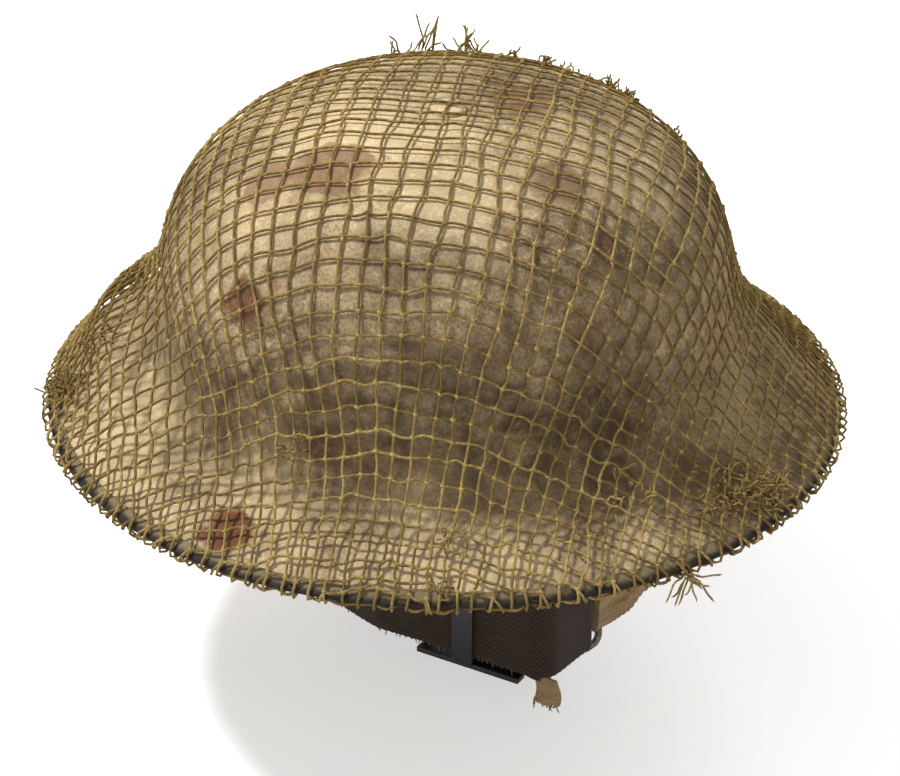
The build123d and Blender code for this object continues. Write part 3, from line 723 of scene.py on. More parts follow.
def thickened(piece, thickness, edge, segments=2):
    """Solidify and bevel modifiers that give a sheet its thickness and soft edges."""
    wall = piece.modifiers.new("wall", "SOLIDIFY")
    wall.thickness = thickness
    wall.offset = 0.0
    wall.use_even_offset = True
    soft = piece.modifiers.new("edge", "BEVEL")
    soft.width = edge
    soft.segments = segments
    soft.limit_method = "ANGLE"
    soft.angle_limit = math.radians(50)


def marked(mesh, **tables):
    """The mesh with the values at its points that its finish reads."""
    for label, values in tables.items():
        held = mesh.attributes.new(label, "FLOAT", "POINT")
        held.data.foreach_set("value", values.astype(np.float32))
    return mesh


def twine_mesh(name, lines, radius, shades=None, sides=2, twist=0.0032):
    """Strings along lines of points in millimetres, with their ply and shade, the shade being
    random tone with painted highlights.
    """
    shades = shades or [np.full(len(line), 0.5) for line in lines]
    strings = []
    for line, tone in zip(lines, shades):
        steps = np.linalg.norm(np.diff(line, axis=0), axis=1)
        kept = np.concatenate([[True], steps > SHORTEST_STEP])
        if kept.sum() > 1:
            strings.append((line[kept], tone[kept]))
    curve = bpy.data.curves.new(name, "CURVE")
    curve.dimensions = "3D"
    curve.bevel_depth = radius
    curve.bevel_resolution = sides - 1
    for line, _ in strings:
        spline = curve.splines.new("POLY")
        spline.points.add(len(line) - 1)
        width = np.ones(len(line))
        places = np.column_stack([line * MM, width])
        width[[0, -1]] = END_WIDTH
        spline.points.foreach_set("radius", width)
        spline.points.foreach_set("co", places.ravel())
    holder = bpy.data.objects.new(name + "_line", curve)
    bpy.context.scene.collection.objects.link(holder)
    mesh = bpy.data.meshes.new_from_object(holder)
    mesh.name = name
    bpy.data.objects.remove(holder)
    bpy.data.curves.remove(curve)
    marks = np.concatenate([Course(line).marks for line, _ in strings]) * MM
    ring = len(mesh.vertices) // len(marks)
    around = 2 * math.pi * np.arange(ring) / ring
    ply = np.sin(2 * math.pi * marks[:, None] / twist + 2 * around).ravel()
    shade = np.repeat(np.concatenate([tone for _, tone in strings]), ring)
    return marked(mesh, ply=ply, shade=shade)


# The net


class NetSurface:
    """The surface that carries the net: the outline turned about Z, lifted where it tents.

    Hung, it falls on below the rim instead of turning in under the brim, so that the net can't
    settle through the brim.
    """

    def __init__(self, hung=False):
        course = Course(filleted(NET_OUTLINE))
        self.length = course.length
        inner = course.points[-1] + course.heading(self.length) * NET_RUN_ON
        longer = Course(np.vstack([course.points, inner]))
        self.marks = np.arange(0, self.length + NET_RUN_ON, NET_STEP)
        self.radius, self.height = longer.at(self.marks).T
        rim = int(np.argmax(self.radius))
        self.rim = self.marks[rim]
        self.ahead = longer.heading(self.marks)
        if hung:
            self.height[rim:] = self.height[rim] - HUNG_SHARE * (self.marks[rim:] - self.rim)
            line = np.column_stack([self.radius, self.height])
            self.ahead = unit(np.gradient(line, axis=0))
        self.outward = left_of(self.ahead)
        low, high = NET_FREE
        self.tented = np.sin(math.pi * ramp(self.marks, low, high - low)) ** 2

    def lift(self, angle):
        """How far the net tents off the outline at its widest there."""
        total = 0
        for height, middle, width in TENTS:
            off = (np.degrees(angle) - middle + 180) % 360 - 180
            total = total + height * np.exp(-((off / width) ** 2))
        return total

    def read(self, table, s):
        return np.interp(s, self.marks, table)

    def place(self, flat, proud=0.0):
        """Points in millimetres of places on the flat net, held that far off the surface."""
        s = np.hypot(flat[..., 0], flat[..., 1])
        angle = np.arctan2(flat[..., 1], flat[..., 0])
        off = self.lift(angle) * self.read(self.tented, s) + proud
        r = self.read(self.radius, s) + off * self.read(self.outward[:, 0], s)
        z = self.read(self.height, s) + off * self.read(self.outward[:, 1], s)
        return np.stack([r * np.cos(angle), r * np.sin(angle), z], axis=-1)

    def out(self, flat):
        """The way out of the surface at places on the flat net, 1 mm long."""
        return self.place(flat, 1.0) - self.place(flat)

    def back(self, flat, shift):
        """The change of flat places that moves their points by that shift along the surface."""
        s = np.maximum(np.hypot(flat[..., 0], flat[..., 1]), 1e-6)
        angle = np.arctan2(flat[..., 1], flat[..., 0])
        cos, sin = np.cos(angle), np.sin(angle)
        radial = shift[..., 0] * cos + shift[..., 1] * sin
        along = radial * self.read(self.ahead[:, 0], s)
        along = along + shift[..., 2] * self.read(self.ahead[:, 1], s)
        aside = -shift[..., 0] * sin + shift[..., 1] * cos
        aside = aside * s / np.maximum(self.read(self.radius, s), 0.5)
        return np.stack([along * cos - aside * sin, along * sin + aside * cos], axis=-1)

    def ring(self, angle, s, proud):
        """A closed line round the net at that mark of its outline, held that far off."""
        line = self.place(np.stack([s * np.cos(angle), s * np.sin(angle)], axis=-1), proud)
        line[-1] = line[0]
        return line


def settled_net(surface, pitch, turn, steps, draws):
    """Flat places of the knots after the net has settled, and which of them are in use."""
    half = int(surface.length / pitch) + 3
    count = np.arange(-half, half + 1)
    flat = np.stack(np.meshgrid(count, count, indexing="ij"), axis=-1) * pitch
    hem = surface.length + NET_MARGIN
    used = np.hypot(flat[..., 0], flat[..., 1]) < hem
    framed = np.pad(used, 1)
    inner = framed[:-2, 1:-1] & framed[2:, 1:-1] & framed[1:-1, :-2] & framed[1:-1, 2:]
    edge = used & ~inner
    cos, sin = math.cos(turn), math.sin(turn)
    flat = flat @ np.array([[cos, sin], [-sin, cos]])
    reach = np.hypot(flat[..., 0], flat[..., 1])
    tied = flat[edge] * (hem / reach[edge])[:, None]
    diagonal = SHEAR_SHARE * pitch
    pairs = (
        ((LAST, ALL), (FIRST, ALL), pitch, TAUT_PULL, SLACK_PUSH),
        ((ALL, LAST), (ALL, FIRST), pitch, TAUT_PULL, SLACK_PUSH),
        ((LAST, LAST), (FIRST, FIRST), diagonal, 0.0, SHEAR_PUSH),
        ((LAST, FIRST), (FIRST, LAST), diagonal, 0.0, SHEAR_PUSH),
    )
    for _ in range(steps):
        points = surface.place(flat)
        shift = np.zeros_like(points)
        count = np.full(used.shape, 1e-6)
        for far, near, rest, taut, slack in pairs:
            gap = points[far] - points[near]
            length = np.linalg.norm(gap, axis=-1)
            over = length - rest
            pull = np.where(over > 0, taut, slack) * (used[far] & used[near])
            move = gap * (over / np.maximum(length, 1e-6) * pull)[..., None]
            shift[near] += move
            shift[far] -= move
            count[near] += pull > 0
            count[far] += pull > 0
        shift *= (EASING / np.maximum(count, 1.0))[..., None]
        out = surface.place(flat, 1.0) - points
        for middle, one, other in STRING_TRIPLES:
            sway = (points[one] + points[other]) / 2 - points[middle]
            way = unit(points[other] - points[one])
            for kept_out in (out[middle], way):
                sway -= kept_out * np.sum(sway * kept_out, axis=-1, keepdims=True)
            held = used[middle] & used[one] & used[other]
            shift[middle] += sway * (SIDE_STIFFNESS * held)[..., None]
        flat = flat + surface.back(flat, shift)
        flat[edge] = tied
    return np.where(inner[..., None], flat + wander(flat, draws), flat), used


def wander(flat, draws):
    """How far each knot strays: slow waves over the net and a little chance of its own."""
    strayed = np.zeros_like(flat)
    for wave, size in WANDER_WAVES:
        for k in range(2):
            for _ in range(WANDER_DRAWS):
                way, phase = draws.uniform(0, 2 * math.pi, 2)
                run = flat[..., 0] * math.cos(way) + flat[..., 1] * math.sin(way)
                strayed[..., k] += size * 0.5 * np.sin(2 * math.pi * run / wave + phase)
    return strayed + draws.normal(0, KNOT_SHIFT, flat.shape)


def string_lines(surface, grid, live, pitch, draws):
    """Points and shades of one set of strings, clipped at the hem and slack between knots."""
    lines, shades = [], []
    reach = np.hypot(grid[..., 0], grid[..., 1])
    inside = reach <= surface.length
    last = grid.shape[1] - 1
    share = np.arange(STRING_SAMPLES) / STRING_SAMPLES
    for row in range(grid.shape[0]):
        line, tone = [], []
        bow = draws.normal(0, 1, last + 1)
        level = float(np.clip(draws.normal(0.5, 0.2), 0, 1))
        for k in range(last):
            starts, ends = inside[row, k], inside[row, k + 1]
            if not (live[row, k] and live[row, k + 1] and (starts or ends)):
                continue
            a, b = grid[row, k], grid[row, k + 1]
            start, end = 0.0, 1.0
            if not (starts and ends):
                crossing = surface.length - reach[row, k]
                crossing /= reach[row, k + 1] - reach[row, k]
                start, end = (crossing, 1.0) if ends else (0.0, crossing)
            t = start + (end - start) * share
            if not ends or k == last - 1:
                t = np.append(t, end)
            chord = np.linalg.norm(surface.place(b) - surface.place(a))
            slack = min(max(pitch * SLACK_REACH - chord, 0.0), SLACK_MOST)
            swing = bow[k] * (SWING_TAUT + SWING_SLACK * slack) * chord
            swing = max(-SWING_MOST, min(SWING_MOST, swing))
            arch = np.sin(math.pi * t)
            places = a + (b - a) * t[:, None] + left_of(unit(b - a)) * (swing * arch)[:, None]
            proud = STRING_PROUD * (1 + arch * draws.uniform(0, 1))
            line.extend(surface.place(places, proud))
            # Painted light: besides its random tone, a string is lighter near the knots and darker
            # midway between them
            shade = level + draws.normal(0, 0.12) + 0.25 * np.cos(2 * math.pi * t)
            tone.extend(np.clip(shade, 0, 1))
            if not ends:
                lines.append(np.array(line))
                shades.append(np.array(tone))
                line, tone = [], []
        if len(line) > 1:
            lines.append(np.array(line))
            shades.append(np.array(tone))
    return lines, shades


def knot_shape():
    """Points and faces of one knot: two crossed lumps, the second as a hitch across the first."""
    shape = bmesh.new()
    for turn, size, off in KNOT_LUMPS:
        turned = Matrix.Rotation(math.radians(turn), 3, "Z").to_quaternion()
        matrix = Matrix.LocRotScale(Vector(off), turned, Vector(size))
        bmesh.ops.create_uvsphere(shape, u_segments=6, v_segments=4, radius=1.0, matrix=matrix)
    shape.verts.index_update()
    co = np.array([v.co for v in shape.verts])
    faces = sorted([v.index for v in face.verts] for face in shape.faces)
    shape.free()
    return co, faces


def knot_mesh(name, surface, places, headings, radius, draws):
    """All the knots as one mesh, each turned and sized a little differently."""
    co, faces = knot_shape()
    number = len(places)
    points = surface.place(places)
    out = unit(surface.out(places))
    ahead = surface.place(places + headings * 0.5) - points
    ahead = unit(ahead - out * np.sum(ahead * out, axis=1, keepdims=True))
    beside = np.cross(out, ahead)
    turn = draws.uniform(-0.5, 0.5, number) + math.radians(KNOT_TURN)
    first = ahead * np.cos(turn)[:, None] + beside * np.sin(turn)[:, None]
    axes = np.stack([first, np.cross(out, first), out], axis=1)
    axes *= (radius * draws.uniform(0.85, 1.25, (number, 3)))[..., None]
    made = points[:, None, :] + (co + (0, 0, KNOT_RISE)) @ axes
    made += draws.normal(0, KNOT_ROUGHNESS, made.shape)
    mesh = bpy.data.meshes.new(name)
    mesh.vertices.add(number * len(co))
    mesh.vertices.foreach_set("co", (made * MM).ravel())
    corners = np.concatenate(faces)
    every = (corners + len(co) * np.arange(number)[:, None]).ravel()
    mesh.loops.add(len(every))
    mesh.loops.foreach_set("vertex_index", every)
    mesh.polygons.add(number * len(faces))
    starts = np.cumsum(np.tile([len(face) for face in faces], number))
    mesh.polygons.foreach_set("loop_start", np.append(0, starts[:-1]))
    mesh.update(calc_edges=True)
    mesh.validate()
    # Painted highlight: the knots get a lighter tone than the strings
    shade = np.repeat(np.clip(draws.normal(0.85, 0.15, number), 0, 1), len(co))
    ply = np.tile(np.sin(7 * co[:, 0] + 5 * co[:, 1]), number)
    return marked(mesh, ply=ply, shade=shade)


def tuft_lines(surface, place, count, reach, spread, rise, draws):
    """Loose curling twine ends that stand up from one place of the net."""
    lines = []
    flat = np.array(place)
    root, out = surface.place(flat), surface.out(flat)
    t = np.linspace(0, 1, TUFT_SAMPLES)
    for _ in range(count):
        start = draws.normal(0, spread, 3)
        start += root - out * (start @ out)
        lean = unit(out * rise + draws.normal(0, 1, 3) * (1 - rise))
        length = reach * draws.uniform(0.5, 1.0)
        curl = unit(np.cross(lean, draws.normal(0, 1, 3)))
        bend = draws.uniform(0.1, 0.5) * length
        wave = draws.uniform(0.2, 0.6)
        aside = bend * t**2 + wave * np.sin(t * 9 + draws.uniform(0, 6))
        lines.append(start + lean * (length * t)[:, None] + curl * aside[:, None])
    return lines


def waves(angle, counts, low, high, draws):
    """Waves of random size and phase that go round so many times."""
    return sum(draws.uniform(low, high) * np.sin(k * angle + draws.uniform(0, 6)) for k in counts)


# Operators


class HELMET_OT_shell(bpy.types.Operator):
    """Paint, wear and rust on the steel bowl, black paint on its rim, dull steel on fasteners"""

    bl_idname = "helmet.shell"
    bl_label = "Finish the shell"

    def execute(self, context):
        colours = context.scene.helmet_finish
        dull = metal_finish("dull_plated_steel", colours.steel, colours.rust)
        brown = metal_finish("browned_steel", scaled(colours.steel, 0.5), colours.rust, 0.5)
        finishes = (
            (("steel_shell", "lug_rivet", "crown_bolt"), shell_finish(colours)),
            (("rim_binding",), rim_finish(colours)),
            (("strap_buckle",), enamel_finish(colours)),
            (("headband_core",), fibre_finish(colours)),
            (("buffer_rivets",), dull),
            (("buffer_", "crown_spacer"), rubber_finish(colours)),
            (("lug_", "strap_ring"), brown),
            (("",), dull),
        )
        for name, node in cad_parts.items():
            for slot in node.material_slots:
                slot.material = next(made for starts, made in finishes if name.startswith(starts))
        return {"FINISHED"}


class HELMET_OT_net(bpy.types.Operator):
    """The knotted string net, its hem cord and its frayed ends"""

    bl_idname = "helmet.net"
    bl_label = "Make the net"

    def execute(self, context):
        settings = context.scene.helmet_net
        twine = twine_finish(context.scene.helmet_finish)
        draws = np.random.default_rng(settings.seed)
        pitch = settings.pitch / MM
        hung = NetSurface(hung=True)
        flat, used = settled_net(hung, pitch, settings.turn, settings.settling, draws)
        surface = NetSurface()
        for name, grid, live, replaced in (
            ("net_strings_across", flat, used, ("camouflage_net",)),
            ("net_strings_along", np.swapaxes(flat, 0, 1), used.T, ()),
        ):
            lines, shades = string_lines(surface, grid, live, pitch, draws)
            mesh = twine_mesh(name, lines, settings.twine, shades)
            finished(mesh, name, twine, "helmet", "net_twine", *replaced)
        self.knots(surface, settings, twine, draws, flat, used)
        self.hem(surface, settings, twine, draws)
        self.selvedge(surface, settings, twine, draws)
        self.tufts(surface, settings, twine, draws)
        return {"FINISHED"}

    def knots(self, surface, settings, twine, draws, flat, used):
        """A knot at each crossing of two strings."""
        kept = used & (np.hypot(flat[..., 0], flat[..., 1]) < surface.length)
        kept[:-1] &= used[1:]
        ahead = np.zeros_like(flat)
        ahead[:-1] = unit(flat[1:] - flat[:-1])
        radius = settings.knot / MM
        mesh = knot_mesh("net_knots", surface, flat[kept], ahead[kept], radius, draws)
        finished(mesh, "net_knots", twine, "helmet", "net_twine")

    def hem(self, surface, settings, twine, draws):
        """The cord drawn through the hem, its waves eased where its ends meet."""
        name = "net_hem_cord_twisted"
        angle = np.radians(np.arange(0, 361, 1.5))
        wave = waves(angle, (5, 9, 14), 0.1, 0.35, draws)
        wave *= np.minimum(1, np.minimum(angle, 2 * math.pi - angle) * 4)
        line = surface.ring(angle, surface.length + HEM_SHIFT + wave, 0.2)
        mesh = twine_mesh(name, [line], settings.hem, sides=3, twist=0.006)
        finished(mesh, name, twine, "helmet", "net_twine", "net_hem_cord")

    def selvedge(self, surface, settings, twine, draws):
        """The row of loops that joins the strings just under the rim."""
        angle = np.radians(np.arange(0, 361, 0.5))
        wave = waves(angle, (31, 47, 83, 103), 0.3, 0.7, draws)
        line = surface.ring(angle, surface.rim + SELVEDGE_SHIFT + wave, 0.3)
        mesh = twine_mesh("net_selvedge", [line], settings.twine * 1.15)
        finished(mesh, "net_selvedge", twine, "helmet", "net_twine")

    def tufts(self, surface, settings, twine, draws):
        """Frayed ends on the crown and tangles on the brim."""
        lines, shades = [], []
        for place, count, reach, spread, rise in TUFTS:
            made = tuft_lines(surface, place, count, reach, spread, rise, draws)
            lines += made
            shades += [np.clip(draws.normal(0.75, 0.25, TUFT_SAMPLES), 0, 1) for _ in made]
        mesh = twine_mesh("net_frayed_ends", lines, settings.twine * 0.72, shades)
        finished(mesh, "net_frayed_ends", twine, "helmet", "net_twine")


def strap_end(side):
    """One side's heading to its ring, the way off its outer face there, and where it ends."""
    bend, angle, run, turned = SIDE_BENDS[side]
    ahead = np.array((math.cos(math.radians(angle)), math.sin(math.radians(angle))))
    return ahead, left_of(ahead) * turned, bend + ahead * run


def webbing_course():
    """The webbing's middle line with its turned-back ends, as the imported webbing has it."""
    corners = {}
    for side in SIDE_BENDS:
        ahead, out, far = strap_end(side)
        back = far - out * (2 * (FOLD_RADIUS + FOLD_GAP))
        end = back - ahead * (FOLD_RUN + FOLD_RADIUS)
        corners[side] = [end, back, far, SIDE_BENDS[side][0]]
    line = [*corners["right"], FRONT_BEND, *reversed(corners["left"])]
    folds = (FOLD_RADIUS, FOLD_RADIUS)
    return Course(filleted(line, (*folds, *BEND_RADII, *folds)))


class HELMET_OT_strap(bpy.types.Operator):
    """The webbing with its frayed free end, the ribbed sleeves over the springs and the buckle"""

    bl_idname = "helmet.strap"
    bl_label = "Make the chin strap"

    def execute(self, context):
        settings = context.scene.helmet_strap
        colours = context.scene.helmet_finish
        # Painted shade: the webbing's colours are darkened below its own khaki to stand for the
        # shade under the brim
        cotton = webbing_finish("khaki_webbing", colours.cotton, colours.cotton_soil_and_shade, TAPE_YARN)
        pale = webbing_finish(
            "khaki_sleeve_cloth", colours.sleeve, colours.sleeve_soil, SLEEVE_YARN, stained=0.3
        )
        self.webbing(settings, cotton)
        self.tail(settings, cotton, pale)
        for side, hand in (("left", 1), ("right", -1)):
            self.sleeve(settings, pale, side, hand)
        self.buckle(settings)
        return {"FINISHED"}

    def webbing(self, settings, cotton):
        """The webbing on edge, a little slack, with both ends turned round the rings."""
        course = webbing_course()
        width = settings.width / MM

        def place(u, v):
            length = u * course.length
            free = ramp(length, 24, 12) * ramp(course.length - length, 26, 12)
            sway = free * (0.35 * np.sin(length / 13 + 1) + 0.3 * np.sin(length / 7) * (v - 0.5))
            drop = free * 0.4 * np.sin(length / 17)
            edge = 0.12 * np.sin(length * 2.1) * np.abs(2 * v - 1) ** 3
            plan = course.at(length) - left_of(course.heading(length)) * sway[:, None]
            height = settings.level / MM + (v - 0.5) * width + drop + edge
            return np.column_stack([plan, height])

        shape = laid_sheet(300, 16, place, (course.length, width))
        name, node = "strap_webbing_woven", "strap_webbing"
        piece = finished(shape, name, cotton, "chinstrap", "strap_cotton", node)
        thickened(piece, settings.thickness - 0.0002, 0.0004)

    def tail(self, settings, cotton, pale):
        """The free end behind the webbing: lower than it, rubbed through and frayed."""
        bend = SIDE_BENDS["left"][0]
        ahead, _, _ = strap_end("left")
        corners = (
            bend - FRONT * TAIL_LENGTH + INWARD * TAIL_LAYER,
            bend - FRONT * TAIL_BEND_BACK + INWARD * TAIL_LAYER,
            bend + ahead * TAIL_END + left_of(ahead) * TAIL_LAYER,
        )
        course = Course(filleted(corners, (TAIL_RADIUS,)))
        width = settings.width / MM
        level = settings.level / MM - TAIL_DROP

        def place(u, v):
            length = u * course.length
            lower = np.clip(0.25 - v, 0, 1) * 4
            bow = lower * (0.9 + 0.5 * np.sin(length / 3.1))
            drop = lower * np.abs(np.sin(length / 9 + 0.6)) * 1.1
            plan = course.at(length) + left_of(course.heading(length)) * bow[:, None]
            return np.column_stack([plan, level + (v - 0.5) * width * 0.97 - drop])

        shape = laid_sheet(90, 16, place, (course.length, width))
        name, node = "strap_tail_woven", "strap_tail"
        piece = finished(shape, name, cotton, "chinstrap", "strap_cotton", node)
        thickened(piece, settings.thickness - 0.0003, 0.0003)
        top = course.at(course.length * np.array(FLAP_SHARES)) + FRONT * FLAP_SHIFT
        self.flap(settings, pale, top, level - width / 2)

    def flap(self, settings, pale, top, low):
        """The short curled piece that hangs from the free end's lower edge."""

        def place(u, v):
            curl = 1.6 * np.sin(v * 2.4) + 0.8 * np.sin(u * 5 + v * 3)
            plan = top[0] + (top[1] - top[0]) * u[:, None] + INWARD * curl[:, None]
            plan = plan + FRONT * (0.9 * v * np.sin(v * 3))[:, None]
            return np.column_stack([plan, low + FLAP_OVERLAP - v * FLAP_LENGTH])

        shape = laid_sheet(14, 18, place, (11.0, 13.0))
        piece = finished(shape, "strap_frayed_end", pale, "chinstrap", "strap_cotton")
        thickened(piece, settings.thickness - 0.0006, 0.0002)
        self.threads(settings, pale, top, low - FLAP_FRAY)

    def threads(self, settings, cloth, top, low):
        """Loose warp threads below the free end and along the webbing's rubbed edge."""
        draws = np.random.default_rng(THREAD_SEED)
        lines = []
        for _ in range(THREAD_COUNT):
            share = draws.uniform(0, 1)
            root = np.append(top[0] + (top[1] - top[0]) * share, low + draws.uniform(0, 1.2))
            root[:2] += INWARD * draws.uniform(0.8, 2.4)
            t = np.linspace(0, 1, 7)
            length = draws.uniform(1.6, 4.2)
            line = root + np.outer(t, (0, 0, -length)) + np.outer(t**2, draws.normal(0, 0.7, 3))
            line[:, 0] += 0.25 * np.sin(t * 8 + draws.uniform(0, 6))
            lines.append(line)
        course = webbing_course()
        edge = (settings.level - settings.width / 2) / MM + 0.3
        for place in course.at(np.arange(*THREAD_STRETCH)):
            t = np.linspace(0, 1, 6)
            line = np.append(place, edge) + np.outer(t, (0, 0, -draws.uniform(0.8, 2.2)))
            lines.append(line + np.outer(t**2, draws.normal(0, 0.6, 3)))
        mesh = twine_mesh("strap_loose_threads", lines, THREAD_RADIUS)
        finished(mesh, "strap_loose_threads", cloth, "chinstrap", "strap_cotton")

    def sleeve(self, settings, cloth, side, hand):
        """A sleeve of ribbed cloth over springs, puckered where it bends."""
        ahead, out, far = strap_end(side)
        bar = far - (ahead + out) * (FOLD_RADIUS + FOLD_GAP)
        ahead, out = np.append(ahead, 0.0), np.append(out, 0.0)
        top = np.array([hand * BAIL_PLACE, 0.0, SLEEVE_TOP])
        end = np.append(bar, settings.level / MM) + ahead * SLEEVE_END
        t = np.linspace(0, 1, 80)[:, None]
        pulls = (top, top - (0, 0, SLEEVE_FALL), end + ahead * SLEEVE_PULL, end)
        curve = sum(
            math.comb(3, k) * (1 - t) ** (3 - k) * t**k * pull for k, pull in enumerate(pulls)
        )
        middle = Course(
            [top + (0, 0, 8.2), top + (0, 0, 5.0), *curve, end - ahead * 5.0, end - ahead * 8.0]
        )
        rib = settings.rib / MM

        def place(u, v):
            length = u * middle.length
            way = middle.heading(length, 1.5)
            share = ramp(length, 8, middle.length - 16)[:, None]
            across = np.array([hand, 0.0, 0.0]) * (1 - share) + out * share
            across = unit(across - way * np.sum(across * way, axis=1, keepdims=True))
            beside = np.cross(way, across)
            cos, sin = np.cos(2 * math.pi * v), np.sin(2 * math.pi * v)
            body = ramp(np.minimum(length, middle.length - length), 4.0, 7.0)
            body = body * body * (3 - 2 * body)
            depth = (0.58 + 0.42 * body) * (SLEEVE_THICKNESS / 2 - 0.25)
            ribs = 0.22 * np.cos(2 * math.pi * length / rib) * body
            low_end = np.exp(-(((middle.length - length - 27) / 15) ** 2))
            pucker = low_end * 0.9 * np.cos(2 * math.pi * (length - 3 * sin) / 9.5)
            upper = 0.3 * np.sin(length / 5.3 + 2 * sin) * body
            half = SLEEVE_WIDTH / 2 - 0.2 + 0.25 * pucker + ribs * 0.6
            x = np.abs(cos) ** 0.8 * np.sign(cos) * (depth + ribs + pucker * body + upper)
            y = np.abs(sin) ** 0.45 * np.sign(sin) * half
            return middle.at(length) + across * x[:, None] + beside * y[:, None]

        girth = 2 * (SLEEVE_WIDTH + SLEEVE_THICKNESS)
        columns = int(middle.length / rib * 5)
        shape = laid_sheet(columns, 40, place, (middle.length, girth), joined=True)
        bmesh.ops.holes_fill(shape, edges=[e for e in shape.edges if e.is_boundary], sides=0)
        bmesh.ops.recalc_face_normals(shape, faces=shape.faces)
        name, node = f"spring_sleeve_{side}_ribbed", f"spring_sleeve_{side}"
        finished(shape, name, cloth, "chinstrap", "strap_cotton", node)

    def buckle(self, settings):
        """The three-bar buckle: its end bars behind the webbing and its middle bar in front."""
        ahead, inward = np.append(FRONT, 0.0), np.append(INWARD, 0.0)
        turn = Matrix((ahead, (0, 0, 1), -inward)).transposed().to_4x4()
        place = Vector((*(FRONT_BEND + FRONT * BUCKLE_PLACE), settings.level / MM))
        shape = bmesh.new()
        for centre, size in BUCKLE_BARS:
            made = bmesh.ops.create_cube(shape, size=1.0)["verts"]
            bmesh.ops.scale(shape, verts=made, vec=Vector(size) * MM)
            bmesh.ops.translate(shape, verts=made, vec=Vector(centre) * MM)
            edges = list({e for v in made for e in v.link_edges})
            bmesh.ops.bevel(
                shape, geom=edges, offset=0.0005, segments=3, profile=0.5, affect="EDGES",
                material=-1,
            )
        bmesh.ops.transform(shape, matrix=Matrix.Translation(place * MM) @ turn, verts=shape.verts)
        bmesh.ops.recalc_face_normals(shape, faces=shape.faces)
        enamel, node = bpy.data.materials["black_enamel"], "strap_buckle"
        finished(
            shape, "strap_buckle_bars", enamel, "buckle", "black_buckle", node, smooth=False
        )


def on_oval(angle, grow):
    """The point of the grown head's oval that faces that way."""
    facing = np.column_stack([np.cos(angle), np.sin(angle)])
    side = np.abs(facing[:, 0]) > OVAL_JOINT
    nought = np.zeros_like(angle)
    centre = np.where(
        side[:, None],
        np.column_stack([-np.sign(facing[:, 0]) * SIDE_CENTRE, nought]),
        np.column_stack([nought, np.sign(facing[:, 1]) * END_CENTRE]),
    )
    reach = np.where(side, SIDE_RADIUS, END_RADIUS) + grow
    return centre + facing * reach[:, None]


def cradle_course(reach, top):
    """The line of a cradle strap over the head, as its distance out and its height."""
    fall = top - CRADLE_TURN
    half = [(reach * out, top - fall * down) for out, down in CRADLE_SHARES]
    half += [(reach, CRADLE_TURN), (reach, CRADLE_END)]
    return Course(filleted([(-x, z) for x, z in reversed(half)] + half))


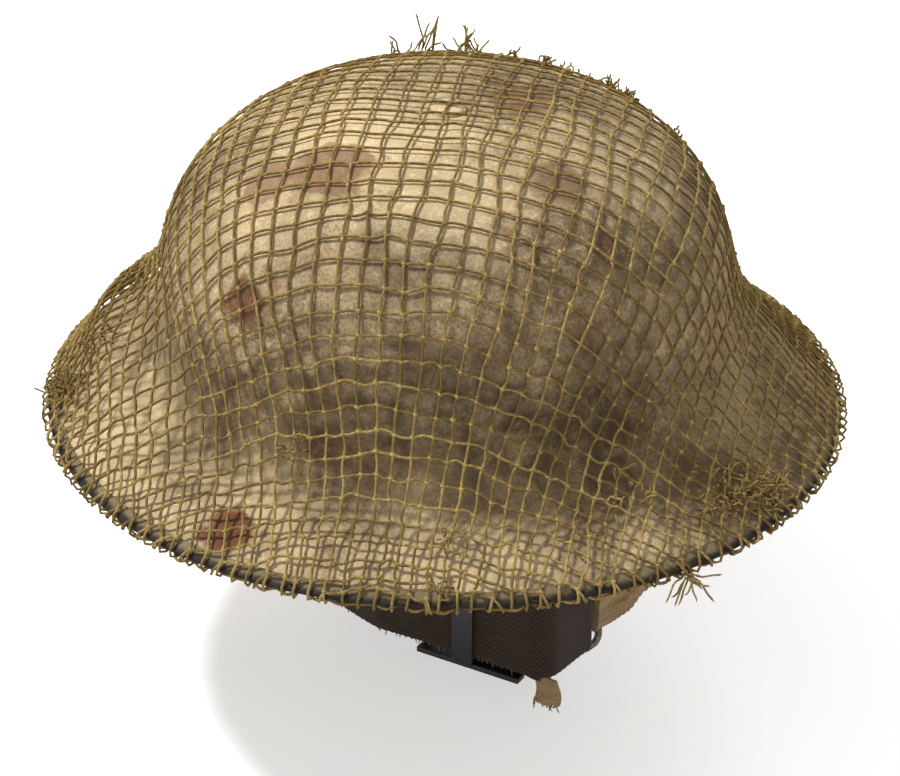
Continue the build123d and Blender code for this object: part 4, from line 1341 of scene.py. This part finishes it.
class HELMET_OT_liner(bpy.types.Operator):
    """The oilcloth headband, the cradle's two straps and the crown pad"""

    bl_idname = "helmet.liner"
    bl_label = "Make the liner"

    def execute(self, context):
        settings = context.scene.helmet_liner
        colours = context.scene.helmet_finish
        tape = webbing_finish("liner_tape", colours.tape, colours.tape_soil, TAPE_YARN)
        self.cover(settings, oilcloth_finish(colours))
        thread = webbing_finish("brown_thread", colours.thread, colours.thread_soil, THREAD_YARN)
        self.stitches(thread)
        for which in CRADLE_TOPS:
            self.strap(settings, tape, which)
        self.pad(settings)
        return {"FINISHED"}

    def cover(self, settings, cloth):
        """The band's cover, turned up inside round the lower edge."""
        section = Course(filleted(COVER_SECTION, COVER_RADII))

        def place(u, v):
            angle = 2 * math.pi * u
            out, height = section.at(v * section.length).T
            slack = 0.22 * np.sin(9 * angle) * np.sin(math.pi * np.clip(height / 42, 0, 1))
            gathered = 0.25 * np.abs(np.sin(23 * angle)) * (height > 30)
            slack = np.where(v < 0.72, slack - gathered, 0)
            rim = 0.25 * np.sin(17 * angle) * (height > 36)
            return np.column_stack([on_oval(angle, out - np.abs(slack) * 0.5), height + rim])

        shape = laid_sheet(288, 60, place, (BAND_LENGTH_M / MM, section.length), joined=True)
        bmesh.ops.recalc_face_normals(shape, faces=shape.faces)
        name, node = "headband_cover_cloth", "headband_cover"
        piece = finished(shape, name, cloth, "helmet", "oilcloth", node)
        thickened(piece, settings.cloth * 0.85, 0.0002)

    def stitches(self, thread):
        """The row of stitches that holds the turned-up part."""
        draws = np.random.default_rng(STITCH_SEED)
        lines = []
        for angle in np.radians(np.arange(0, 360, STITCH_STEP)):
            ends = on_oval(np.array([angle, angle + math.radians(STITCH_SPAN)]), -0.05)
            places = np.vstack([ends[0], ends.mean(axis=0), ends[1]])
            height = STITCH_HEIGHT + draws.normal(0, 0.05)
            lines.append(np.column_stack([places, np.full(3, height)]))
        mesh = twine_mesh("headband_stitches", lines, STITCH_RADIUS)
        finished(mesh, "headband_stitches", thread, "helmet", "oilcloth")

    def strap(self, settings, tape, which):
        """One strap of the cradle, sagging a little between its rivets and the crown."""
        course = cradle_course(CRADLE_REACH[which], CRADLE_TOPS[which] - CRADLE_THICKNESS)
        width = settings.cradle / MM

        def place(u, v):
            length = u * course.length
            across = (v - 0.5) * width
            middle = np.abs(length - course.length / 2)
            free = ramp(middle, 20, 20) * ramp(course.length / 2 - middle, 38, 20)
            sag = free * (0.25 * np.cos(across / 5) + 0.15 * np.sin(length / 9))
            lift = left_of(course.heading(length)) * (0.55 + sag * 0.4)[:, None]
            out, height = (course.at(length) + lift).T
            x, y = (out, across) if which == "cross" else (-across, out)
            return np.column_stack([x, y, height])

        shape = laid_sheet(160, 12, place, (course.length, width))
        name, node = f"cradle_strap_{which}_tape", f"cradle_strap_{which}"
        piece = finished(shape, name, tape, "helmet", "liner_webbing", node)
        thickened(piece, 0.0011, 0.0003)

    def pad(self, settings):
        """The rubber cross in the crown, softly rounded and lightly dished."""
        thick = settings.pad / MM
        across, along = (
            cradle_course(CRADLE_REACH[which] - PAD_GAP - thick, PAD_TOP - thick).points.T
            for which in ("cross", "long")
        )
        hole = PAD_HOLE + 0.2

        def place(u, v):
            angle = 2 * math.pi * u
            cos, sin = np.abs(np.cos(angle)) + 1e-9, np.abs(np.sin(angle)) + 1e-9
            arm_x = np.minimum(PAD_HALVES[0] / cos, PAD_HALF_ARM / sin)
            arm_y = np.minimum(PAD_HALVES[1] / sin, PAD_HALF_ARM / cos)
            r = hole + (np.maximum(arm_x, arm_y) - PAD_GAP - hole) * v
            x, y = r * np.cos(angle), r * np.sin(angle)
            height = np.minimum(np.interp(x, *across), np.interp(y, *along))
            return np.column_stack([x, y, height + thick / 2 - 0.1])

        shape = laid_sheet(192, 14, place, (360.0, 40.0), joined=True)
        bmesh.ops.recalc_face_normals(shape, faces=shape.faces)
        rubber, node = bpy.data.materials["old_rubber"], "crown_pad"
        piece = finished(shape, "crown_pad_rubber", rubber, "helmet", "liner_rubber", node)
        thickened(piece, (thick - 2 * PAD_GAP) * MM, PAD_EDGE, segments=4)


class HELMET_OT_stage(bpy.types.Operator):
    """Pale floor and backdrop, soft lamps and the camera"""

    bl_idname = "helmet.stage"
    bl_label = "Set the stage"

    def execute(self, context):
        scene = context.scene
        scene.view_settings.view_transform = "Standard"
        self.floor(scene)
        self.sky(scene)
        for name, place, size, power in LAMPS:
            light = bpy.data.lights.new(name, "AREA")
            light.shape = "DISK"
            light.size = size
            light.energy = power
            lamp = bpy.data.objects.new(name, light)
            lamp.location = place
            aim = Vector(LAMP_AIM) - Vector(place)
            lamp.rotation_euler = aim.to_track_quat("-Z", "Y").to_euler()
            scene.collection.objects.link(lamp)
        self.camera(scene)
        return {"FINISHED"}

    def floor(self, scene):
        """The floor, a little brighter to the camera than its light, and clear from below."""
        shape = bmesh.new()
        bmesh.ops.create_grid(shape, x_segments=1, y_segments=1, size=FLOOR_SIZE)
        bmesh.ops.translate(shape, verts=shape.verts, vec=(0, 0, FLOOR_LEVEL))
        mesh = bpy.data.meshes.new("floor")
        shape.to_mesh(mesh)
        shape.free()
        floor = bpy.data.objects.new("floor", mesh)
        scene.collection.objects.link(floor)
        made = Finish("pale_floor", 0.9, Base_Color=FLOOR_COLOUR, Specular_IOR_Level=0.1)
        seen = made.node("ShaderNodeLightPath").outputs["Is Camera Ray"]
        glow = made.node("ShaderNodeEmission", Strength=made.part(seen, FLOOR_LIFT))
        both = made.node("ShaderNodeAddShader", _0=made.surface.outputs[0], _1=glow.outputs[0])
        below = made.node("ShaderNodeNewGeometry").outputs["Backfacing"]
        clear = made.node("ShaderNodeBsdfTransparent").outputs[0]
        shown = made.node("ShaderNodeMixShader", _0=below, _1=both.outputs[0], _2=clear)
        target = made.tree.nodes["Material Output"].inputs["Surface"]
        made.tree.links.new(shown.outputs[0], target)
        mesh.materials.append(made.material)

    def sky(self, scene):
        """A white sky to the camera and in what it sees mirrored, and a dimmer one as a light."""
        scene.world = scene.world or bpy.data.worlds.new("studio")
        scene.world.use_nodes = True
        tree = scene.world.node_tree
        seen = wired(tree, "ShaderNodeLightPath").outputs
        either = seen["Is Camera Ray"]
        for ray in ("Is Glossy Ray", "Is Transmission Ray"):
            largest = {"operation": "MAXIMUM"}
            either = wired(tree, "ShaderNodeMath", largest, _0=either, _1=seen[ray]).outputs[0]
        strength = wired(
            tree, "ShaderNodeMath", {"operation": "MULTIPLY_ADD"},
            _0=either, _1=1.0 - SKY_STRENGTH, _2=SKY_STRENGTH,
        )
        sky = tree.nodes["Background"].inputs
        sky["Color"].default_value = (1.0, 1.0, 1.0, 1.0)
        tree.links.new(strength.outputs[0], sky["Strength"])

    def camera(self, scene):
        """The camera at the photograph's angle, aimed off the helmet as far as there."""
        az, el, roll = (math.radians(a) for a in CAMERA_ANGLES)
        back = Vector((math.sin(az) * math.cos(el), -math.cos(az) * math.cos(el), math.sin(el)))
        right = Vector((math.cos(az), math.sin(az), 0))
        up = back.cross(right)
        side = right * math.cos(roll) - up * math.sin(roll)
        upright = right * math.sin(roll) + up * math.cos(roll)
        across, down = CAMERA_AIM_OFFSET
        ahead = (-back * CAMERA_FOCUS + side * across - upright * down).normalized()
        side = ahead.cross(upright).normalized()
        upright = side.cross(ahead)
        data = bpy.data.cameras.new("view")
        data.sensor_width = SENSOR_WIDTH
        data.lens = SENSOR_WIDTH * CAMERA_FOCUS / PICTURE_WIDTH
        data.clip_end = 50
        camera = bpy.data.objects.new("view", data)
        turn = Matrix((side, upright, -ahead)).transposed()
        place = Vector((0, 0, CAMERA_TARGET_HEIGHT)) + back * CAMERA_DISTANCE
        camera.matrix_world = Matrix.Translation(place) @ turn.to_4x4()
        scene.collection.objects.link(camera)
        scene.camera = camera


class HELMET_PT_panel(bpy.types.Panel):
    """The steps that build the helmet"""

    bl_label = "Helmet"
    bl_idname = "HELMET_PT_panel"
    bl_space_type = "VIEW_3D"
    bl_region_type = "UI"
    bl_category = "Helmet"

    def draw(self, context):
        for step in STEPS:
            self.layout.operator(step.bl_idname)


STEPS = (HELMET_OT_shell, HELMET_OT_net, HELMET_OT_strap, HELMET_OT_liner, HELMET_OT_stage)


def register():
    for kind in (*SETTINGS.values(), *STEPS, HELMET_PT_panel):
        bpy.utils.register_class(kind)
    for name, kind in SETTINGS.items():
        setattr(bpy.types.Scene, name, PointerProperty(type=kind))


def unregister():
    for name in SETTINGS:
        delattr(bpy.types.Scene, name)
    for kind in reversed((*SETTINGS.values(), *STEPS, HELMET_PT_panel)):
        bpy.utils.unregister_class(kind)


def main():
    register()
    for step in STEPS:
        group, call = step.bl_idname.split(".")
        getattr(getattr(bpy.ops, group), call)()


if __name__ == "__main__":
    main()
